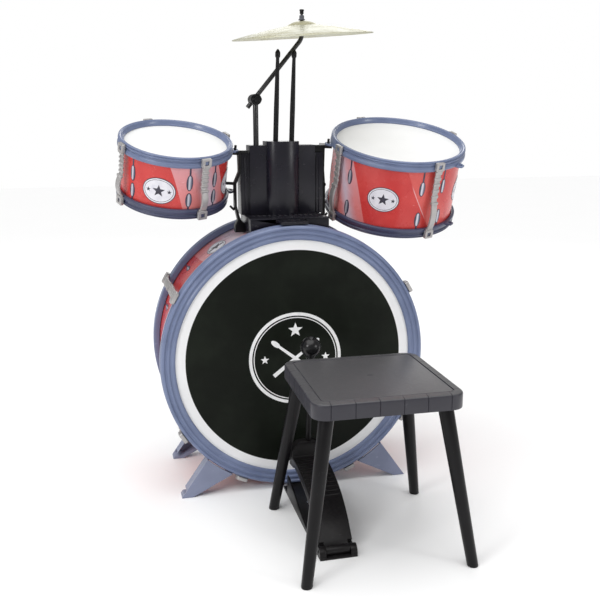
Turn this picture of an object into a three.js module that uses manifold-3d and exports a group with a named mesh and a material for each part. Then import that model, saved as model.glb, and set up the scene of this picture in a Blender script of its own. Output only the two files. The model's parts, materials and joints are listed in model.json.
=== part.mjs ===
// A child's plastic drum kit: bass drum on four feet, two toms, a cymbal on a boom, a pedal and a stool.
// Millimetres, +Z up. The player sits on the -Y side; the bass drum's axis runs along Y.
import * as THREE from "three";
import { mergeVertices } from "three/addons/utils/BufferGeometryUtils.js";
import Module from "manifold-3d";

const wasm = await Module();
wasm.setup();

// ---------- driving dimensions ----------

const GAP = 0.3; // clearance kept between pieces that touch
const FULL_TURN = 2 * Math.PI;

const bass = {
  name: "bass",
  radius: 210, // outside of the hoops
  lipRadius: 187, // opening in the hoops
  depth: 176.5, // front face to back face
  hoopHeight: 22,
  lipDrop: 2.6, // how far the lip lies below the rim
  lipThickness: 2.4,
  hoopWall: 10,
  shellWall: 3,
  headThickness: 1.5,
  segments: 64,
  clampAngles: [29.5, 150, 213, 245.5, 295, 328.5],
  clamp: {
    capWidth: 19, capHeight: 17, capThickness: 6, strapWidth: 12, strapThickness: 3, bulge: 5, peg: 7,
  },
  lugAngles: [],
  backHead: true,
  floorGap: 5,
};
const bassCentreHeight = bass.radius + bass.floorGap;
const bassTop = bassCentreHeight + bass.radius;

// Feet: the angles on the hoop where a foot's root starts and ends, and how far inside the hoop its tip is.
const foot = { rootFrom: 227, rootTo: 241.5, tipInset: 33.3, padWidth: 17, depth: 22, web: 3, flange: 3.2 };

// Tower: heights are measured up from the top of the bass drum, depths from the inner edges of its hoops.
const tower = {
  baseWidth: 125, baseFrontGap: 14, baseBackGap: 28.5, baseRise: 7, tongueWidth: 43, tongueThickness: 4.5,
  bodyWidth: 134, bodyDepth: 32, bodyInset: 2, shoulderRise: 104,
  coreWidth: 106, coreStep: 4, coreRise: 116,
  columnWidth: 53, columnBulge: 17, columnRise: 122, columnInset: 8,
};
const baseFront = bass.hoopHeight + tower.baseFrontGap;
const baseBack = bass.depth - bass.hoopHeight - tower.baseBackGap;
const baseTop = bassTop + tower.baseRise;
const bodyBack = baseBack - tower.bodyInset;
const bodyFront = bodyBack - tower.bodyDepth;
const shoulder = bassTop + tower.shoulderRise;
const coreFront = bodyFront - tower.coreStep;
const coreTop = bassTop + tower.coreRise;
const columnTop = bassTop + tower.columnRise;

const tomClamp = {
  capWidth: 15, capHeight: 13, capThickness: 5, strapWidth: 10.5, strapThickness: 2.5, bulge: 6, peg: 6,
};
const tomHoops = {
  hoopHeight: 16, lipDrop: 6.4, lipThickness: 2, hoopWall: 5, shellWall: 2.2, headThickness: 1.2,
};
const lug = { half: 8, reach: 9.5, thickness: 3, holeOut: 4.5, hole: 2.6 };

// Toms: fromTower is the room between a tom's hoop and the tower, rise the height above the tower's shoulder.
const tomLeft = {
  ...tomHoops, name: "tom_left", radius: 88, lipRadius: 78, depth: 97.5, segments: 40,
  clampAngles: [25, 115, 205, 295], clamp: tomClamp, lugAngles: [0], backHead: false,
  side: -1, fromTower: 11, rise: 25, leanToPlayer: 18.2, leanToRight: 4.1,
};
const tomRight = {
  ...tomHoops, name: "tom_right", radius: 110.5, lipRadius: 100.5, depth: 128.5, segments: 44,
  clampAngles: [16, 106, 196, 286], clamp: tomClamp, lugAngles: [173, 311], backHead: false,
  side: 1, fromTower: 17, rise: 21, leanToPlayer: 18.2, leanToRight: 0.5,
};
const tomY = bodyFront - 2;

// Brackets: heights are below the tower's shoulder and distances out from its side.
const strapSize = { depth: 16, thickness: 3.2, shelf: 3, clipRod: 2.4, hookRod: 1.8, pegClearance: 0.6 };
const brackets = [
  {
    side: -1, y: bodyFront + 1, bow: 8, lugAngle: 0, plate: 4, shelfEnd: 9,
    clipDrop: 47, clipOut: 23.3, hookDrop: 82, hookOut: 17.8,
  },
  {
    side: 1, y: bodyFront + 12, bow: 2, lugAngle: 173, plate: 11, shelfEnd: 18,
    clipDrop: 53, clipOut: 8, hookDrop: 99, hookOut: 11,
  },
];

const stick = {
  radius: 4, neckRadius: 2.7, tipRadius: 4.1, tipLength: 14, length: 232, lean: 2, x: [-9.5, 16.5],
};
const stickHole = { depth: 92, clearance: 0.5 };
const stickY = bodyFront + 4;

const post = { sideInset: 12, radius: 4.2, rise: 77, socketDepth: 60, clearance: 0.4 };
const postX = -tower.coreWidth / 2 + post.sideInset;
const postY = stickY;
const postTop = coreTop + post.rise;
// The boom's clamp: front, split and back are measured from the post's axis.
const boomClamp = {
  belowPostTop: 7, radius: 8.5, front: -8, split: 7, back: 22, knobRadius: 7, knobDepth: 9, knobWing: 1.5,
};
const clampHeight = postTop - boomClamp.belowPostTop;
const boom = { radius: 3.5, behindPost: 14.5, tail: 16, reach: 78, rise: 93, boltLength: 42, boltRadius: 2 };
const boomY = postY + boom.behindPost;
const bendX = postX + boom.reach;
const bendHeight = clampHeight + boom.rise;
const boltTop = bendHeight + boom.boltLength;

const cymbal = {
  radius: 111, bow: 16, bellRadius: 25, bell: 6.5, thickness: 1.8, hole: 4.6,
  aboveBend: 26.5, leanToPlayer: 3.4, leanToLeft: 4.1,
};
const bellTop = bendHeight + cymbal.aboveBend;
const sleeve = { radius: 3.75, flange: 5.4, height: 7 };
const washer = { radius: 6.5, stem: 3.1, drop: 4.6, height: 4 };
const boltCap = { radius: 3.6, stem: 3, skirt: 5, height: 1.6 };

const pedal = {
  left: -22, rightHeel: 31, rightToe: 36, length: 227, toe: -2, plate: 4, cheek: 2.5, cheekHeight: 34,
  boardThickness: 3.2, boardGap: 0.6, skirt: 12, ribs: 12, ribHeight: 1.2, ribWidth: 2.6,
  toeTop: 99, toeShoulder: 72, toeRound: 9.5, toeBack: 31,
  knuckleWidth: 9, knuckleRadius: 6.2, heelBarRadius: 9,
};
const pedalHeel = pedal.toe - pedal.length;
const hinge = { y: pedalHeel + 10, z: 9, radius: 2.5 };
const toeY = pedal.toe - pedal.toeBack;
const beater = {
  x: 8, footDrop: 8, footHeight: 62, rodRadius: 4, ballRadius: 15.5, ballY: -60, ballZ: 251,
  neckRadius: 6.5, neckLength: 8,
};
const spring = { y: -82, radius: 9, wire: 1.1, turns: 5, stepsPerTurn: 12 };

// Stool: back is where the seat's far edge stands; the feet stand a little outside the seat's edges.
const stool = {
  x: 60.6, back: -78.6, turn: -0.8, width: 203.5, depth: 195.3, top: 239.3, rim: 22, corner: 20, wall: 4,
  crown: 3, crownInset: 2.5, feetOutX: 12.2, feetOutY: 11.8, legInset: 25,
  legTopRadius: 10.5, legFootRadius: 7.5, socketWall: 3.2,
};
const stoolY = stool.back - stool.depth / 2;

// ---------- materials ----------

const finish = (colour, roughness, metalness = 0) =>
  new THREE.MeshStandardMaterial({ color: colour, roughness, metalness });

const finishes = {
  hoop: finish("#6d78a0", 0.35),
  shell: finish("#cf3a38", 0.3),
  film: finish("#f4f4f2", 0.3),
  frontFilm: finish("#12180f", 0.3),
  clamp: finish("#a8a3a2", 0.4, 0.3),
  black: finish("#26262b", 0.4),
  rubber: finish("#1d1d20", 0.7),
  seat: finish("#4b4b50", 0.45),
  cymbal: finish("#cfcfa0", 0.35, 0.4),
  sleeve: finish("#6a6c74", 0.5),
  steel: finish("#b8bac0", 0.3, 1),
};

// ---------- solids ----------

/** A closed geometry as a solid that can be joined and cut. */
function solid(geometry) {
  const bare = geometry.index ? geometry.toNonIndexed() : geometry.clone();
  bare.deleteAttribute("normal");
  bare.deleteAttribute("uv");
  const merged = mergeVertices(bare, 1e-4);
  return new wasm.Manifold(new wasm.Mesh({
    numProp: 3,
    vertProperties: new Float32Array(merged.attributes.position.array),
    triVerts: new Uint32Array(merged.index.array),
  }));
}

/** A solid's surface as a geometry. */
function surface(manifold) {
  const mesh = manifold.getMesh();
  const geometry = new THREE.BufferGeometry();
  geometry.setAttribute("position", new THREE.BufferAttribute(new Float32Array(mesh.vertProperties), 3));
  geometry.setIndex(new THREE.BufferAttribute(new Uint32Array(mesh.triVerts), 1));
  geometry.computeVertexNormals();
  return geometry;
}

/** A box between two corners. */
function block(low, high) {
  const size = high.map((value, axis) => value - low[axis]);
  const centre = high.map((value, axis) => (value + low[axis]) / 2);
  return new THREE.BoxGeometry(...size).translate(...centre);
}

/** A closed (radius, height) profile turned round the Z axis. */
function turned(profile, segments) {
  const points = profile.map(([radius, height]) => new THREE.Vector2(radius, height));
  return new THREE.LatheGeometry(points, segments).rotateX(Math.PI / 2);
}

/** A round bar, or a cone, between two points. */
function bar(from, to, radiusFrom, radiusTo = radiusFrom, sides = 16) {
  const start = new THREE.Vector3(...from);
  const end = new THREE.Vector3(...to);
  const along = end.clone().sub(start);
  const geometry = new THREE.CylinderGeometry(radiusTo, radiusFrom, along.length(), sides);
  const turn = new THREE.Quaternion().setFromUnitVectors(new THREE.Vector3(0, 1, 0), along.normalize());
  geometry.applyQuaternion(turn);
  const middle = start.add(end).multiplyScalar(0.5);
  return geometry.translate(middle.x, middle.y, middle.z);
}

/** A round section to run along a path. */
const disc = (radius, sides) => new THREE.Shape(Array.from({ length: sides }, (_, index) => new THREE.Vector2(
  radius * Math.cos((FULL_TURN * index) / sides), radius * Math.sin((FULL_TURN * index) / sides),
)));

/** An outline in the XY plane raised from one height to another. */
function raised(outline, low, high, holes = []) {
  const shape = new THREE.Shape(outline.map(([x, y]) => new THREE.Vector2(x, y)));
  holes.forEach((hole) => shape.holes.push(new THREE.Path(hole.map(([x, y]) => new THREE.Vector2(x, y)))));
  const geometry = new THREE.ExtrudeGeometry(shape, { depth: high - low, bevelEnabled: false });
  return geometry.translate(0, 0, low);
}

/** A (y, z) side outline spread from one x to another. */
function spread(outline, left, right) {
  // The extrusion's x, y, z become the model's y, z, x.
  const turn = new THREE.Matrix4().set(0, 0, 1, 0, 1, 0, 0, 0, 0, 1, 0, 0, 0, 0, 0, 1);
  return raised(outline, left, right).applyMatrix4(turn);
}

/** An outline in the (x, z) plane spread from one y to another. */
function standing(outline, front, back) {
  return raised(outline, front, back)
    .applyMatrix4(new THREE.Matrix4().set(1, 0, 0, 0, 0, 0, -1, 0, 0, 1, 0, 0, 0, 0, 0, 1))
    .translate(0, front + back, 0);
}

/** A rectangle with round corners, centred on the origin. */
function roundedRectangle(width, depth, corner, steps = 5) {
  const points = [];
  const centres = [[1, 1], [-1, 1], [-1, -1], [1, -1]];
  centres.forEach(([sideX, sideY], quarter) => {
    for (let step = 0; step <= steps; step += 1) {
      const angle = (quarter + step / steps) * (Math.PI / 2);
      points.push([
        sideX * (width / 2 - corner) + corner * Math.cos(angle),
        sideY * (depth / 2 - corner) + corner * Math.sin(angle),
      ]);
    }
  });
  return points;
}

const union = (...parts) => surface(parts.map(solid).reduce((sum, part) => sum.add(part)));
const cut = (body, ...tools) => surface(
  tools.map(solid).reduce((sum, tool) => sum.subtract(tool), solid(body)),
);
const common = (first, second) => surface(solid(first).intersect(solid(second)));

function piece(name, geometry, material) {
  const mesh = new THREE.Mesh(geometry, material);
  mesh.name = name;
  return mesh;
}

const radians = THREE.MathUtils.degToRad;

/** Turns a geometry round the Z axis. */
const swung = (geometry, degrees) => geometry.clone().rotateZ(radians(degrees));

// ---------- drums ----------
// Every drum is made standing, its struck side at height 0 and its shell below, then laid or leaned.

/** A hoop's closed section, with height 0 at its rim. */
function hoopSection(drum) {
  const { radius, lipRadius, hoopHeight, lipDrop, lipThickness, hoopWall } = drum;
  const inner = radius - hoopWall;
  const underLip = -lipDrop - lipThickness;
  return [
    [lipRadius, underLip],
    [inner, underLip],
    [inner, -hoopHeight],
    [radius - 1, -hoopHeight],
    [radius, -hoopHeight + 1],
    [radius, -hoopHeight * 0.68],
    [radius - 1.4, -hoopHeight * 0.6],
    [radius - 0.6, -2.5],
    [radius - 3, 0],
    [radius - 6, -0.2],
    [lipRadius + 1.2, -lipDrop + 0.8],
    [lipRadius, underLip],
  ];
}

const hoopPegCentre = (drum) => drum.hoopHeight * 0.45;

/** A hoop with a square peg for each clamp and a flat lug, with a hole, for each bracket. */
function hoop(drum, facing) {
  const section = hoopSection(drum).map(([r, h]) => [r, facing * h]);
  const ring = turned(facing > 0 ? section : section.reverse(), drum.segments);
  const pegHalf = drum.clamp.peg / 2;
  const pegHeight = -facing * hoopPegCentre(drum);
  const peg = block(
    [drum.radius - 4, -pegHalf, pegHeight - pegHalf],
    [drum.radius + drum.clamp.capThickness - 1, pegHalf, pegHeight + pegHalf],
  );
  const pegs = drum.clampAngles.map((angle) => swung(peg, angle));
  const lugLow = facing > 0 ? -drum.hoopHeight : drum.hoopHeight - lug.thickness;
  const root = drum.radius - 3;
  const waist = drum.radius + 3;
  const end = drum.radius + lug.reach;
  const tab = raised([
    [root, -lug.half], [waist, -lug.half], [end, -lug.half / 2],
    [end, lug.half / 2], [waist, lug.half], [root, lug.half],
  ], lugLow, lugLow + lug.thickness);
  const holeAt = drum.radius + lug.holeOut;
  const hole = bar([holeAt, 0, lugLow - 5], [holeAt, 0, lugLow + lug.thickness + 5], lug.hole, lug.hole, 12);
  const lugs = drum.lugAngles.map((angle) => swung(cut(tab, hole), angle));
  return union(ring, ...pegs, ...lugs);
}

/** An over-centre strap clamp: a windowed cap on each hoop's peg, and a strap with a bowed lever. */
function clamp(drum, angle) {
  const { capWidth, capHeight, capThickness, strapWidth, strapThickness, bulge, peg } = drum.clamp;
  const inside = drum.radius + GAP;
  const capFace = inside + capThickness;
  const window = peg / 2 + GAP;
  const pegHeight = hoopPegCentre(drum);
  const caps = [-pegHeight, -drum.depth + pegHeight].map((height) => cut(
    block([inside, -capWidth / 2, height - capHeight / 2], [capFace, capWidth / 2, height + capHeight / 2]),
    block([inside - 2, -window, height - window], [capFace + 2, window, height + window]),
  ));
  const top = -pegHeight - capHeight / 2 + 1;
  const bottom = -drum.depth + pegHeight + capHeight / 2 - 1;
  const span = top - bottom;
  const leverTop = bottom + span * 0.52;
  const outside = inside + strapThickness;
  const side = [[inside, bottom], [outside, bottom]];
  const steps = 8;
  for (let step = 1; step < steps; step += 1) {
    const share = step / steps;
    side.push([outside + bulge * Math.sin(Math.PI * share) ** 0.8, bottom + (leverTop - bottom) * share]);
  }
  side.push([outside, leverTop], [outside, top], [inside, top]);
  const strap = raised(side, -strapWidth / 2, strapWidth / 2).rotateX(Math.PI / 2);
  return swung(union(...caps, strap), angle);
}

/** All the pieces of one drum in a group of their own. */
function makeDrum(drum) {
  const group = new THREE.Group();
  const add = (suffix, geometry, material) => group.add(piece(`${drum.name}_${suffix}`, geometry, material));
  const shellRadius = drum.radius - drum.hoopWall - 1;
  const underLip = drum.lipDrop + drum.lipThickness + GAP;
  const headEnd = underLip + drum.headThickness;
  const shellTop = -headEnd - GAP;
  const shellBottom = drum.backHead ? -drum.depth - shellTop : -drum.depth + underLip;
  add("shell", turned([
    [shellRadius - drum.shellWall, shellBottom], [shellRadius, shellBottom], [shellRadius, shellTop],
    [shellRadius - drum.shellWall, shellTop], [shellRadius - drum.shellWall, shellBottom],
  ], drum.segments), finishes.shell);
  const head = turned(
    [[0, -headEnd], [shellRadius, -headEnd], [shellRadius, -underLip], [0, -underLip]], drum.segments,
  );
  const front = drum.backHead;
  add(front ? "front_hoop" : "top_hoop", hoop(drum, 1), finishes.hoop);
  add(front ? "back_hoop" : "bottom_hoop", hoop(drum, -1).translate(0, 0, -drum.depth), finishes.hoop);
  add(front ? "front_head" : "head", head, front ? finishes.frontFilm : finishes.film);
  if (drum.backHead) {
    add("back_head", head.clone().translate(0, 0, headEnd + underLip - drum.depth), finishes.film);
  }
  drum.clampAngles.forEach((angle, index) => add(`clamp_${index + 1}`, clamp(drum, angle), finishes.clamp));
  return group;
}

const bassGroup = makeDrum(bass);
bassGroup.quaternion.setFromRotationMatrix(new THREE.Matrix4().makeBasis(
  new THREE.Vector3(1, 0, 0), new THREE.Vector3(0, 0, 1), new THREE.Vector3(0, -1, 0),
));
bassGroup.position.set(0, 0, bassCentreHeight);

/** A tom leaned towards the player beside the tower. */
function leaned(tom) {
  const group = makeDrum(tom);
  const up = new THREE.Vector3(
    Math.tan(radians(tom.leanToRight)), -Math.tan(radians(tom.leanToPlayer)), 1,
  ).normalize();
  const across = new THREE.Vector3(0, 1, 0).cross(up).normalize();
  group.quaternion.setFromRotationMatrix(new THREE.Matrix4().makeBasis(across, up.clone().cross(across), up));
  const out = tower.bodyWidth / 2 + tom.radius + tom.fromTower;
  group.position.set(tom.side * out, tomY, shoulder + tom.rise);
  return group;
}
const tomLeftGroup = leaned(tomLeft);
const tomRightGroup = leaned(tomRight);

// ---------- bass drum feet ----------

/** A long round bar on the bass drum's axis, for cutting what sits on it. */
const alongBass = (radius) => bar(
  [0, -5, bassCentreHeight], [0, bass.depth + 5, bassCentreHeight], radius, radius, 144,
);

/** One flanged triangular foot, cut to the hoop's round; side is -1 for left, +1 for right. */
function bassFoot(side, front) {
  const onHoop = (degrees, reach) => [
    side * -reach * Math.cos(radians(degrees)), bassCentreHeight + reach * Math.sin(radians(degrees)),
  ];
  const deep = bass.radius - 6;
  const tip = side * (bass.radius - foot.tipInset);
  const halfPad = foot.padWidth / 2;
  const outline = (inset) => {
    const rootA = onHoop(foot.rootFrom + inset * 0.27, deep);
    const rootB = onHoop(foot.rootTo - inset * 0.27, deep);
    const padEnd = side * (halfPad - inset);
    return [rootA, [tip + padEnd, inset * 1.6], [tip - padEnd, inset * 1.6], rootB];
  };
  const oriented = (points) => (side > 0 ? points : points.reverse());
  const near = front ? 0 : bass.depth - foot.depth;
  const pocketNear = near + (front ? foot.web : -1);
  const body = standing(oriented(outline(0)), near, near + foot.depth);
  const pocket = standing(oriented(outline(foot.flange)), pocketNear, pocketNear + foot.depth - foot.web + 1);
  return cut(body, pocket, alongBass(bass.radius + GAP));
}
const feet = new THREE.Group();
for (const [sideName, side] of [["left", -1], ["right", 1]]) {
  feet.add(piece(`bass_foot_front_${sideName}`, bassFoot(side, true), finishes.hoop));
  feet.add(piece(`bass_foot_back_${sideName}`, bassFoot(side, false), finishes.hoop));
}

// ---------- tower ----------

const shellRadiusOfBass = bass.radius - bass.hoopWall - 1;
const towerGroup = new THREE.Group();

const halfBase = tower.baseWidth / 2;
const hoopTop = bassTop + GAP;
const baseBlock = union(
  block([-halfBase, baseFront, bassCentreHeight + bass.radius * 0.7], [halfBase, baseBack, baseTop]),
  block(
    [-tower.tongueWidth / 2, 3, hoopTop],
    [tower.tongueWidth / 2, baseFront + 1, hoopTop + tower.tongueThickness],
  ),
);
towerGroup.add(piece("tower_base", cut(baseBlock, alongBass(shellRadiusOfBass + GAP)), finishes.black));

const bodyBottom = baseTop + GAP;
const columnOutline = [];
const columnSteps = 16;
for (let step = 0; step <= columnSteps; step += 1) {
  const angle = Math.PI + (Math.PI * step) / columnSteps;
  columnOutline.push([
    (tower.columnWidth / 2) * Math.cos(angle), coreFront + tower.columnBulge * Math.sin(angle),
  ]);
}
const columnBack = bodyBack - tower.columnInset;
columnOutline.push([tower.columnWidth / 2, columnBack], [-tower.columnWidth / 2, columnBack]);

/** A point on a stick's axis, a given distance up from its lower end. */
const stickUp = new THREE.Vector3(Math.sin(radians(stick.lean)), 0, Math.cos(radians(stick.lean)));
const alongStick = (x, distance) => new THREE.Vector3(x, stickY, columnTop)
  .addScaledVector(stickUp, distance - stickHole.depth).toArray();
const stickHoleRadius = stick.radius + stickHole.clearance;
const stickHoles = stick.x.map((x) => bar(
  alongStick(x, 0), alongStick(x, stickHole.depth + 10), stickHoleRadius, stickHoleRadius, 20,
));
const postHoleRadius = post.radius + post.clearance;
const postSocket = bar(
  [postX, postY, coreTop - post.socketDepth], [postX, postY, coreTop + 5], postHoleRadius, postHoleRadius, 20,
);
const halfBody = tower.bodyWidth / 2;
const towerBody = union(
  block([-halfBody, bodyFront, bodyBottom], [halfBody, bodyBack, shoulder]),
  block([-tower.coreWidth / 2, coreFront, bodyBottom], [tower.coreWidth / 2, bodyBack - 5, coreTop]),
  raised(columnOutline, bodyBottom, columnTop),
);
towerGroup.add(piece("tower_body", cut(towerBody, ...stickHoles, postSocket), finishes.black));

// ---------- drumsticks ----------

/** A stick stood on its butt: a straight shaft, a taper to the neck and an oval tip. */
function drumstick() {
  const neck = stick.length - stick.tipLength;
  const profile = [
    [0, 0], [stick.radius - 1, 0], [stick.radius, 1.5],
    [stick.radius, stick.length * 0.62], [stick.neckRadius, neck],
  ];
  for (let step = 1; step < 6; step += 1) {
    const share = step / 6;
    const bulb = stick.tipRadius * Math.sin(Math.PI * share) ** 0.6 * (1 - 0.25 * share);
    profile.push([stick.neckRadius * (1 - share) * 0.6 + bulb, neck + stick.tipLength * share]);
  }
  profile.push([0, stick.length]);
  return turned(profile, 16);
}
stick.x.forEach((x, index) => {
  const mesh = piece(index === 0 ? "drumstick_left" : "drumstick_right", drumstick(), finishes.black);
  mesh.position.fromArray(alongStick(x, GAP));
  mesh.quaternion.setFromUnitVectors(new THREE.Vector3(0, 0, 1), stickUp);
  towerGroup.add(mesh);
});

// ---------- tom brackets ----------

/** A strap bowed down beside the tower, hung from its shoulder, with a shelf and peg for the tom's lug. */
function tomBracket(bracket, tom, group) {
  const { side, y, bow, lugAngle, plate, shelfEnd } = bracket;
  const clipHeight = shoulder - bracket.clipDrop;
  const hookHeight = shoulder - bracket.hookDrop;
  const inner = halfBody + GAP;
  const plateLow = shoulder + GAP;
  const thick = strapSize.thickness;
  const footIn = halfBase + GAP;
  const bowOut = halfBody + bow;
  const outline = [
    [halfBody - 12, plateLow], [inner, plateLow], [inner, shoulder - 29],
    [bowOut, clipHeight], [bowOut, hookHeight],
    [halfBody + 2.5, baseTop - 6], [footIn, baseTop - 14], [footIn, baseTop - 26.5],
    [halfBody + 11, baseTop - 26.5], [halfBody + 11, baseTop - 16], [halfBody + 6.5, baseTop - 7],
    [bowOut + thick, hookHeight - 1], [bowOut + thick, clipHeight + 1], [inner + thick, shoulder - 28],
    [inner + thick + 1, plateLow + plate], [halfBody - 12, plateLow + plate],
  ].map(([out, height]) => [side * out, height]);
  const halfDepth = strapSize.depth / 2;
  const strap = standing(side > 0 ? outline : outline.reverse(), y - halfDepth, y + halfDepth);
  const lugUnder = -tom.hoopHeight - GAP;
  const onTom = (geometry) => swung(geometry, lugAngle).applyMatrix4(group.matrixWorld);
  const shelf = onTom(block(
    [tom.radius - 1, -lug.half, lugUnder - strapSize.shelf], [tom.radius + shelfEnd, lug.half, lugUnder],
  ));
  const pegAt = tom.radius + lug.holeOut;
  const pegRadius = lug.hole - strapSize.pegClearance;
  const peg = onTom(bar(
    [pegAt, 0, lugUnder - 1], [pegAt, 0, lugUnder + lug.thickness + 7], pegRadius, pegRadius, 10,
  ));
  const lugRoom = onTom(block(
    [tom.radius - 4, -lug.half - GAP, lugUnder],
    [tom.radius + lug.reach + 2 * GAP, lug.half + GAP, lugUnder + 12],
  ));
  const rod = (from, to, radius) => bar(
    [side * from[0], y, from[1]], [side * to[0], y, to[1]], radius, radius, 10,
  );
  const { clipRod, hookRod } = strapSize;
  return union(
    cut(strap, lugRoom), shelf, peg,
    rod([bowOut + 1, clipHeight], [halfBody + bracket.clipOut, clipHeight + 1], clipRod),
    rod([bowOut + 1, hookHeight], [bowOut + 4, hookHeight - 6], hookRod),
    rod([bowOut + 3.4, hookHeight - 6.4], [halfBody + bracket.hookOut, hookHeight], hookRod),
  );
}

// ---------- cymbal stand ----------

const standGroup = new THREE.Group();
const postBottom = coreTop - post.socketDepth + GAP;
const boomBend = new THREE.Vector3(bendX, boomY, bendHeight);
const clampCentre = new THREE.Vector3(postX, boomY, clampHeight);
const boomAlong = boomBend.clone().sub(clampCentre).normalize();
const boomLowEnd = clampCentre.clone().addScaledVector(boomAlong, -boom.tail);
standGroup.add(piece(
  "cymbal_post", bar([postX, postY, postBottom], [postX, postY, postTop], post.radius), finishes.black,
));

/** A length of the clamp's barrel between two distances behind the post's axis. */
const clampBarrel = (front, back, radius = boomClamp.radius) => bar(
  [postX, postY + front, clampHeight], [postX, postY + back, clampHeight], radius, radius, 24,
);
standGroup.add(piece("boom_clamp_body", cut(
  clampBarrel(boomClamp.front, boomClamp.split),
  bar([postX, postY, postTop - 60], [postX, postY, postTop + GAP], post.radius + GAP, post.radius + GAP, 16),
), finishes.black));
standGroup.add(piece("boom_clamp_jaw", cut(
  clampBarrel(boomClamp.split + GAP, boomClamp.back),
  bar(
    clampCentre.clone().addScaledVector(boomAlong, -2 * boom.tail).toArray(), boomBend.toArray(),
    boom.radius + GAP, boom.radius + GAP, 16,
  ),
), finishes.black));
const knobBack = boomClamp.front - GAP;
const knobFront = knobBack - boomClamp.knobDepth;
standGroup.add(piece("boom_clamp_knob", union(
  clampBarrel(knobFront, knobBack, boomClamp.knobRadius * 0.55),
  block(
    [postX - boomClamp.knobRadius, postY + knobFront, clampHeight - boomClamp.knobWing],
    [postX + boomClamp.knobRadius, postY + knobBack - 3, clampHeight + boomClamp.knobWing],
  ),
), finishes.black));

/** The boom: a straight slanting rod that bends upright and narrows to the bolt that carries the cymbal. */
function boomArm() {
  const bendRoom = 8;
  const path = new THREE.CurvePath();
  const before = boomBend.clone().addScaledVector(boomAlong, -bendRoom);
  const after = boomBend.clone().add(new THREE.Vector3(0, 0, bendRoom));
  path.add(new THREE.LineCurve3(boomLowEnd, before));
  path.add(new THREE.QuadraticBezierCurve3(before, boomBend, after));
  const rod = new THREE.ExtrudeGeometry(
    disc(boom.radius, 10), { steps: 18, bevelEnabled: false, extrudePath: path },
  );
  const boltFoot = [bendX, boomY, after.z - 1];
  return union(rod, bar(boltFoot, [bendX, boomY, boltTop], boom.boltRadius, boom.boltRadius, 14));
}
standGroup.add(piece("boom_arm", boomArm(), finishes.black));

const cymbalUp = new THREE.Vector3(
  -Math.tan(radians(cymbal.leanToLeft)), -Math.tan(radians(cymbal.leanToPlayer)), 1,
).normalize();

/** The cymbal's side outline as (radius, height) from the rim inwards, lowered by a given amount. */
function cymbalProfile(lower) {
  const points = [];
  const steps = 4;
  for (let step = 0; step <= steps; step += 1) {
    const share = step / steps;
    const height = cymbal.bow * share * (1.25 - 0.25 * share);
    points.push([cymbal.radius + (cymbal.bellRadius - cymbal.radius) * share, height - lower]);
  }
  for (let step = 1; step <= 3; step += 1) {
    const share = step / 3;
    points.push([
      cymbal.bellRadius + (cymbal.hole - cymbal.bellRadius) * share,
      cymbal.bow + cymbal.bell * Math.sin((Math.PI / 2) * share) - lower,
    ]);
  }
  return points;
}
const upperSide = cymbalProfile(0);
const underSide = cymbalProfile(cymbal.thickness).reverse();
const cymbalMesh = piece("cymbal", turned([...underSide, ...upperSide, underSide[0]], 48), finishes.cymbal);
cymbalMesh.position.set(bendX, boomY, bellTop).addScaledVector(cymbalUp, -cymbal.bow - cymbal.bell);
cymbalMesh.quaternion.setFromUnitVectors(new THREE.Vector3(0, 0, 1), cymbalUp);
standGroup.add(cymbalMesh);

const boltHole = boom.boltRadius + GAP;
const boltBore = bar([0, 0, bellTop - 50], [0, 0, boltTop + GAP], boltHole, boltHole, 14);

/** A small turned piece bored for the bolt; its profile is measured up from a given height. */
function onBolt(profile, from = bellTop) {
  const placed = profile.map(([radius, height]) => [radius, from + height]);
  return cut(turned(placed, 24), boltBore).translate(bendX, boomY, 0);
}
const stemTop = 0.9;
standGroup.add(piece("cymbal_washer", onBolt([
  [0, -washer.drop - washer.height], [washer.radius, -washer.drop - washer.height],
  [washer.radius, -washer.drop], [washer.stem, -washer.drop + 1], [washer.stem, stemTop], [0, stemTop],
]), finishes.rubber));
const sleeveLow = stemTop + GAP;
standGroup.add(piece("cymbal_sleeve", onBolt([
  [0, sleeveLow], [sleeve.flange, sleeveLow], [sleeve.flange, sleeveLow + 1], [sleeve.radius, sleeveLow + 2],
  [sleeve.radius, sleeveLow + sleeve.height], [0, sleeveLow + sleeve.height],
]), finishes.sleeve));
standGroup.add(piece("boom_end_cap", onBolt([
  [0, -boltCap.skirt], [boltCap.stem, -boltCap.skirt], [boltCap.stem, -1],
  [boltCap.radius, 0], [boltCap.radius, boltCap.height], [0, boltCap.height],
], boltTop), finishes.black));

// ---------- pedal ----------

const pedalGroup = new THREE.Group();

/** The pedal's outline seen from above, drawn in by an inset at its sides. */
const plan = (inset) => [
  [pedal.left + inset, pedalHeel], [pedal.rightHeel - inset, pedalHeel],
  [pedal.rightToe - inset, pedal.toe], [pedal.left + inset, pedal.toe],
];
const [pedalSideLow, pedalSideHigh] = [pedal.left - 5, pedal.rightToe + 5];
const heelBack = hinge.y + pedal.heelBarRadius - 1;
const cheekBack = pedal.toe - 26;
const cheekOutline = [
  [heelBack + 4, 0], [cheekBack, 0], [cheekBack, pedal.cheekHeight], [cheekBack - 11, pedal.cheekHeight],
  [cheekBack - 96, 11], [cheekBack - 122, 7], [heelBack + 4, 7],
];
const cheeks = common(spread(cheekOutline, pedalSideLow, pedalSideHigh), raised(plan(0), -1, 60));
const baseHollow = raised(plan(pedal.cheek).map(([x, y]) => [x, y < toeY ? heelBack : y]), pedal.plate, 70);
const barSide = [[hinge.y - pedal.heelBarRadius, 0], [hinge.y + pedal.heelBarRadius, 0]];
for (let step = 0; step <= 8; step += 1) {
  const angle = (Math.PI * step) / 8;
  barSide.push([
    hinge.y + pedal.heelBarRadius * Math.cos(angle), 6 + pedal.heelBarRadius * Math.sin(angle),
  ]);
}
const heelBar = common(spread(barSide, pedalSideLow, pedalSideHigh), raised(plan(0), -1, 60));
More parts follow.
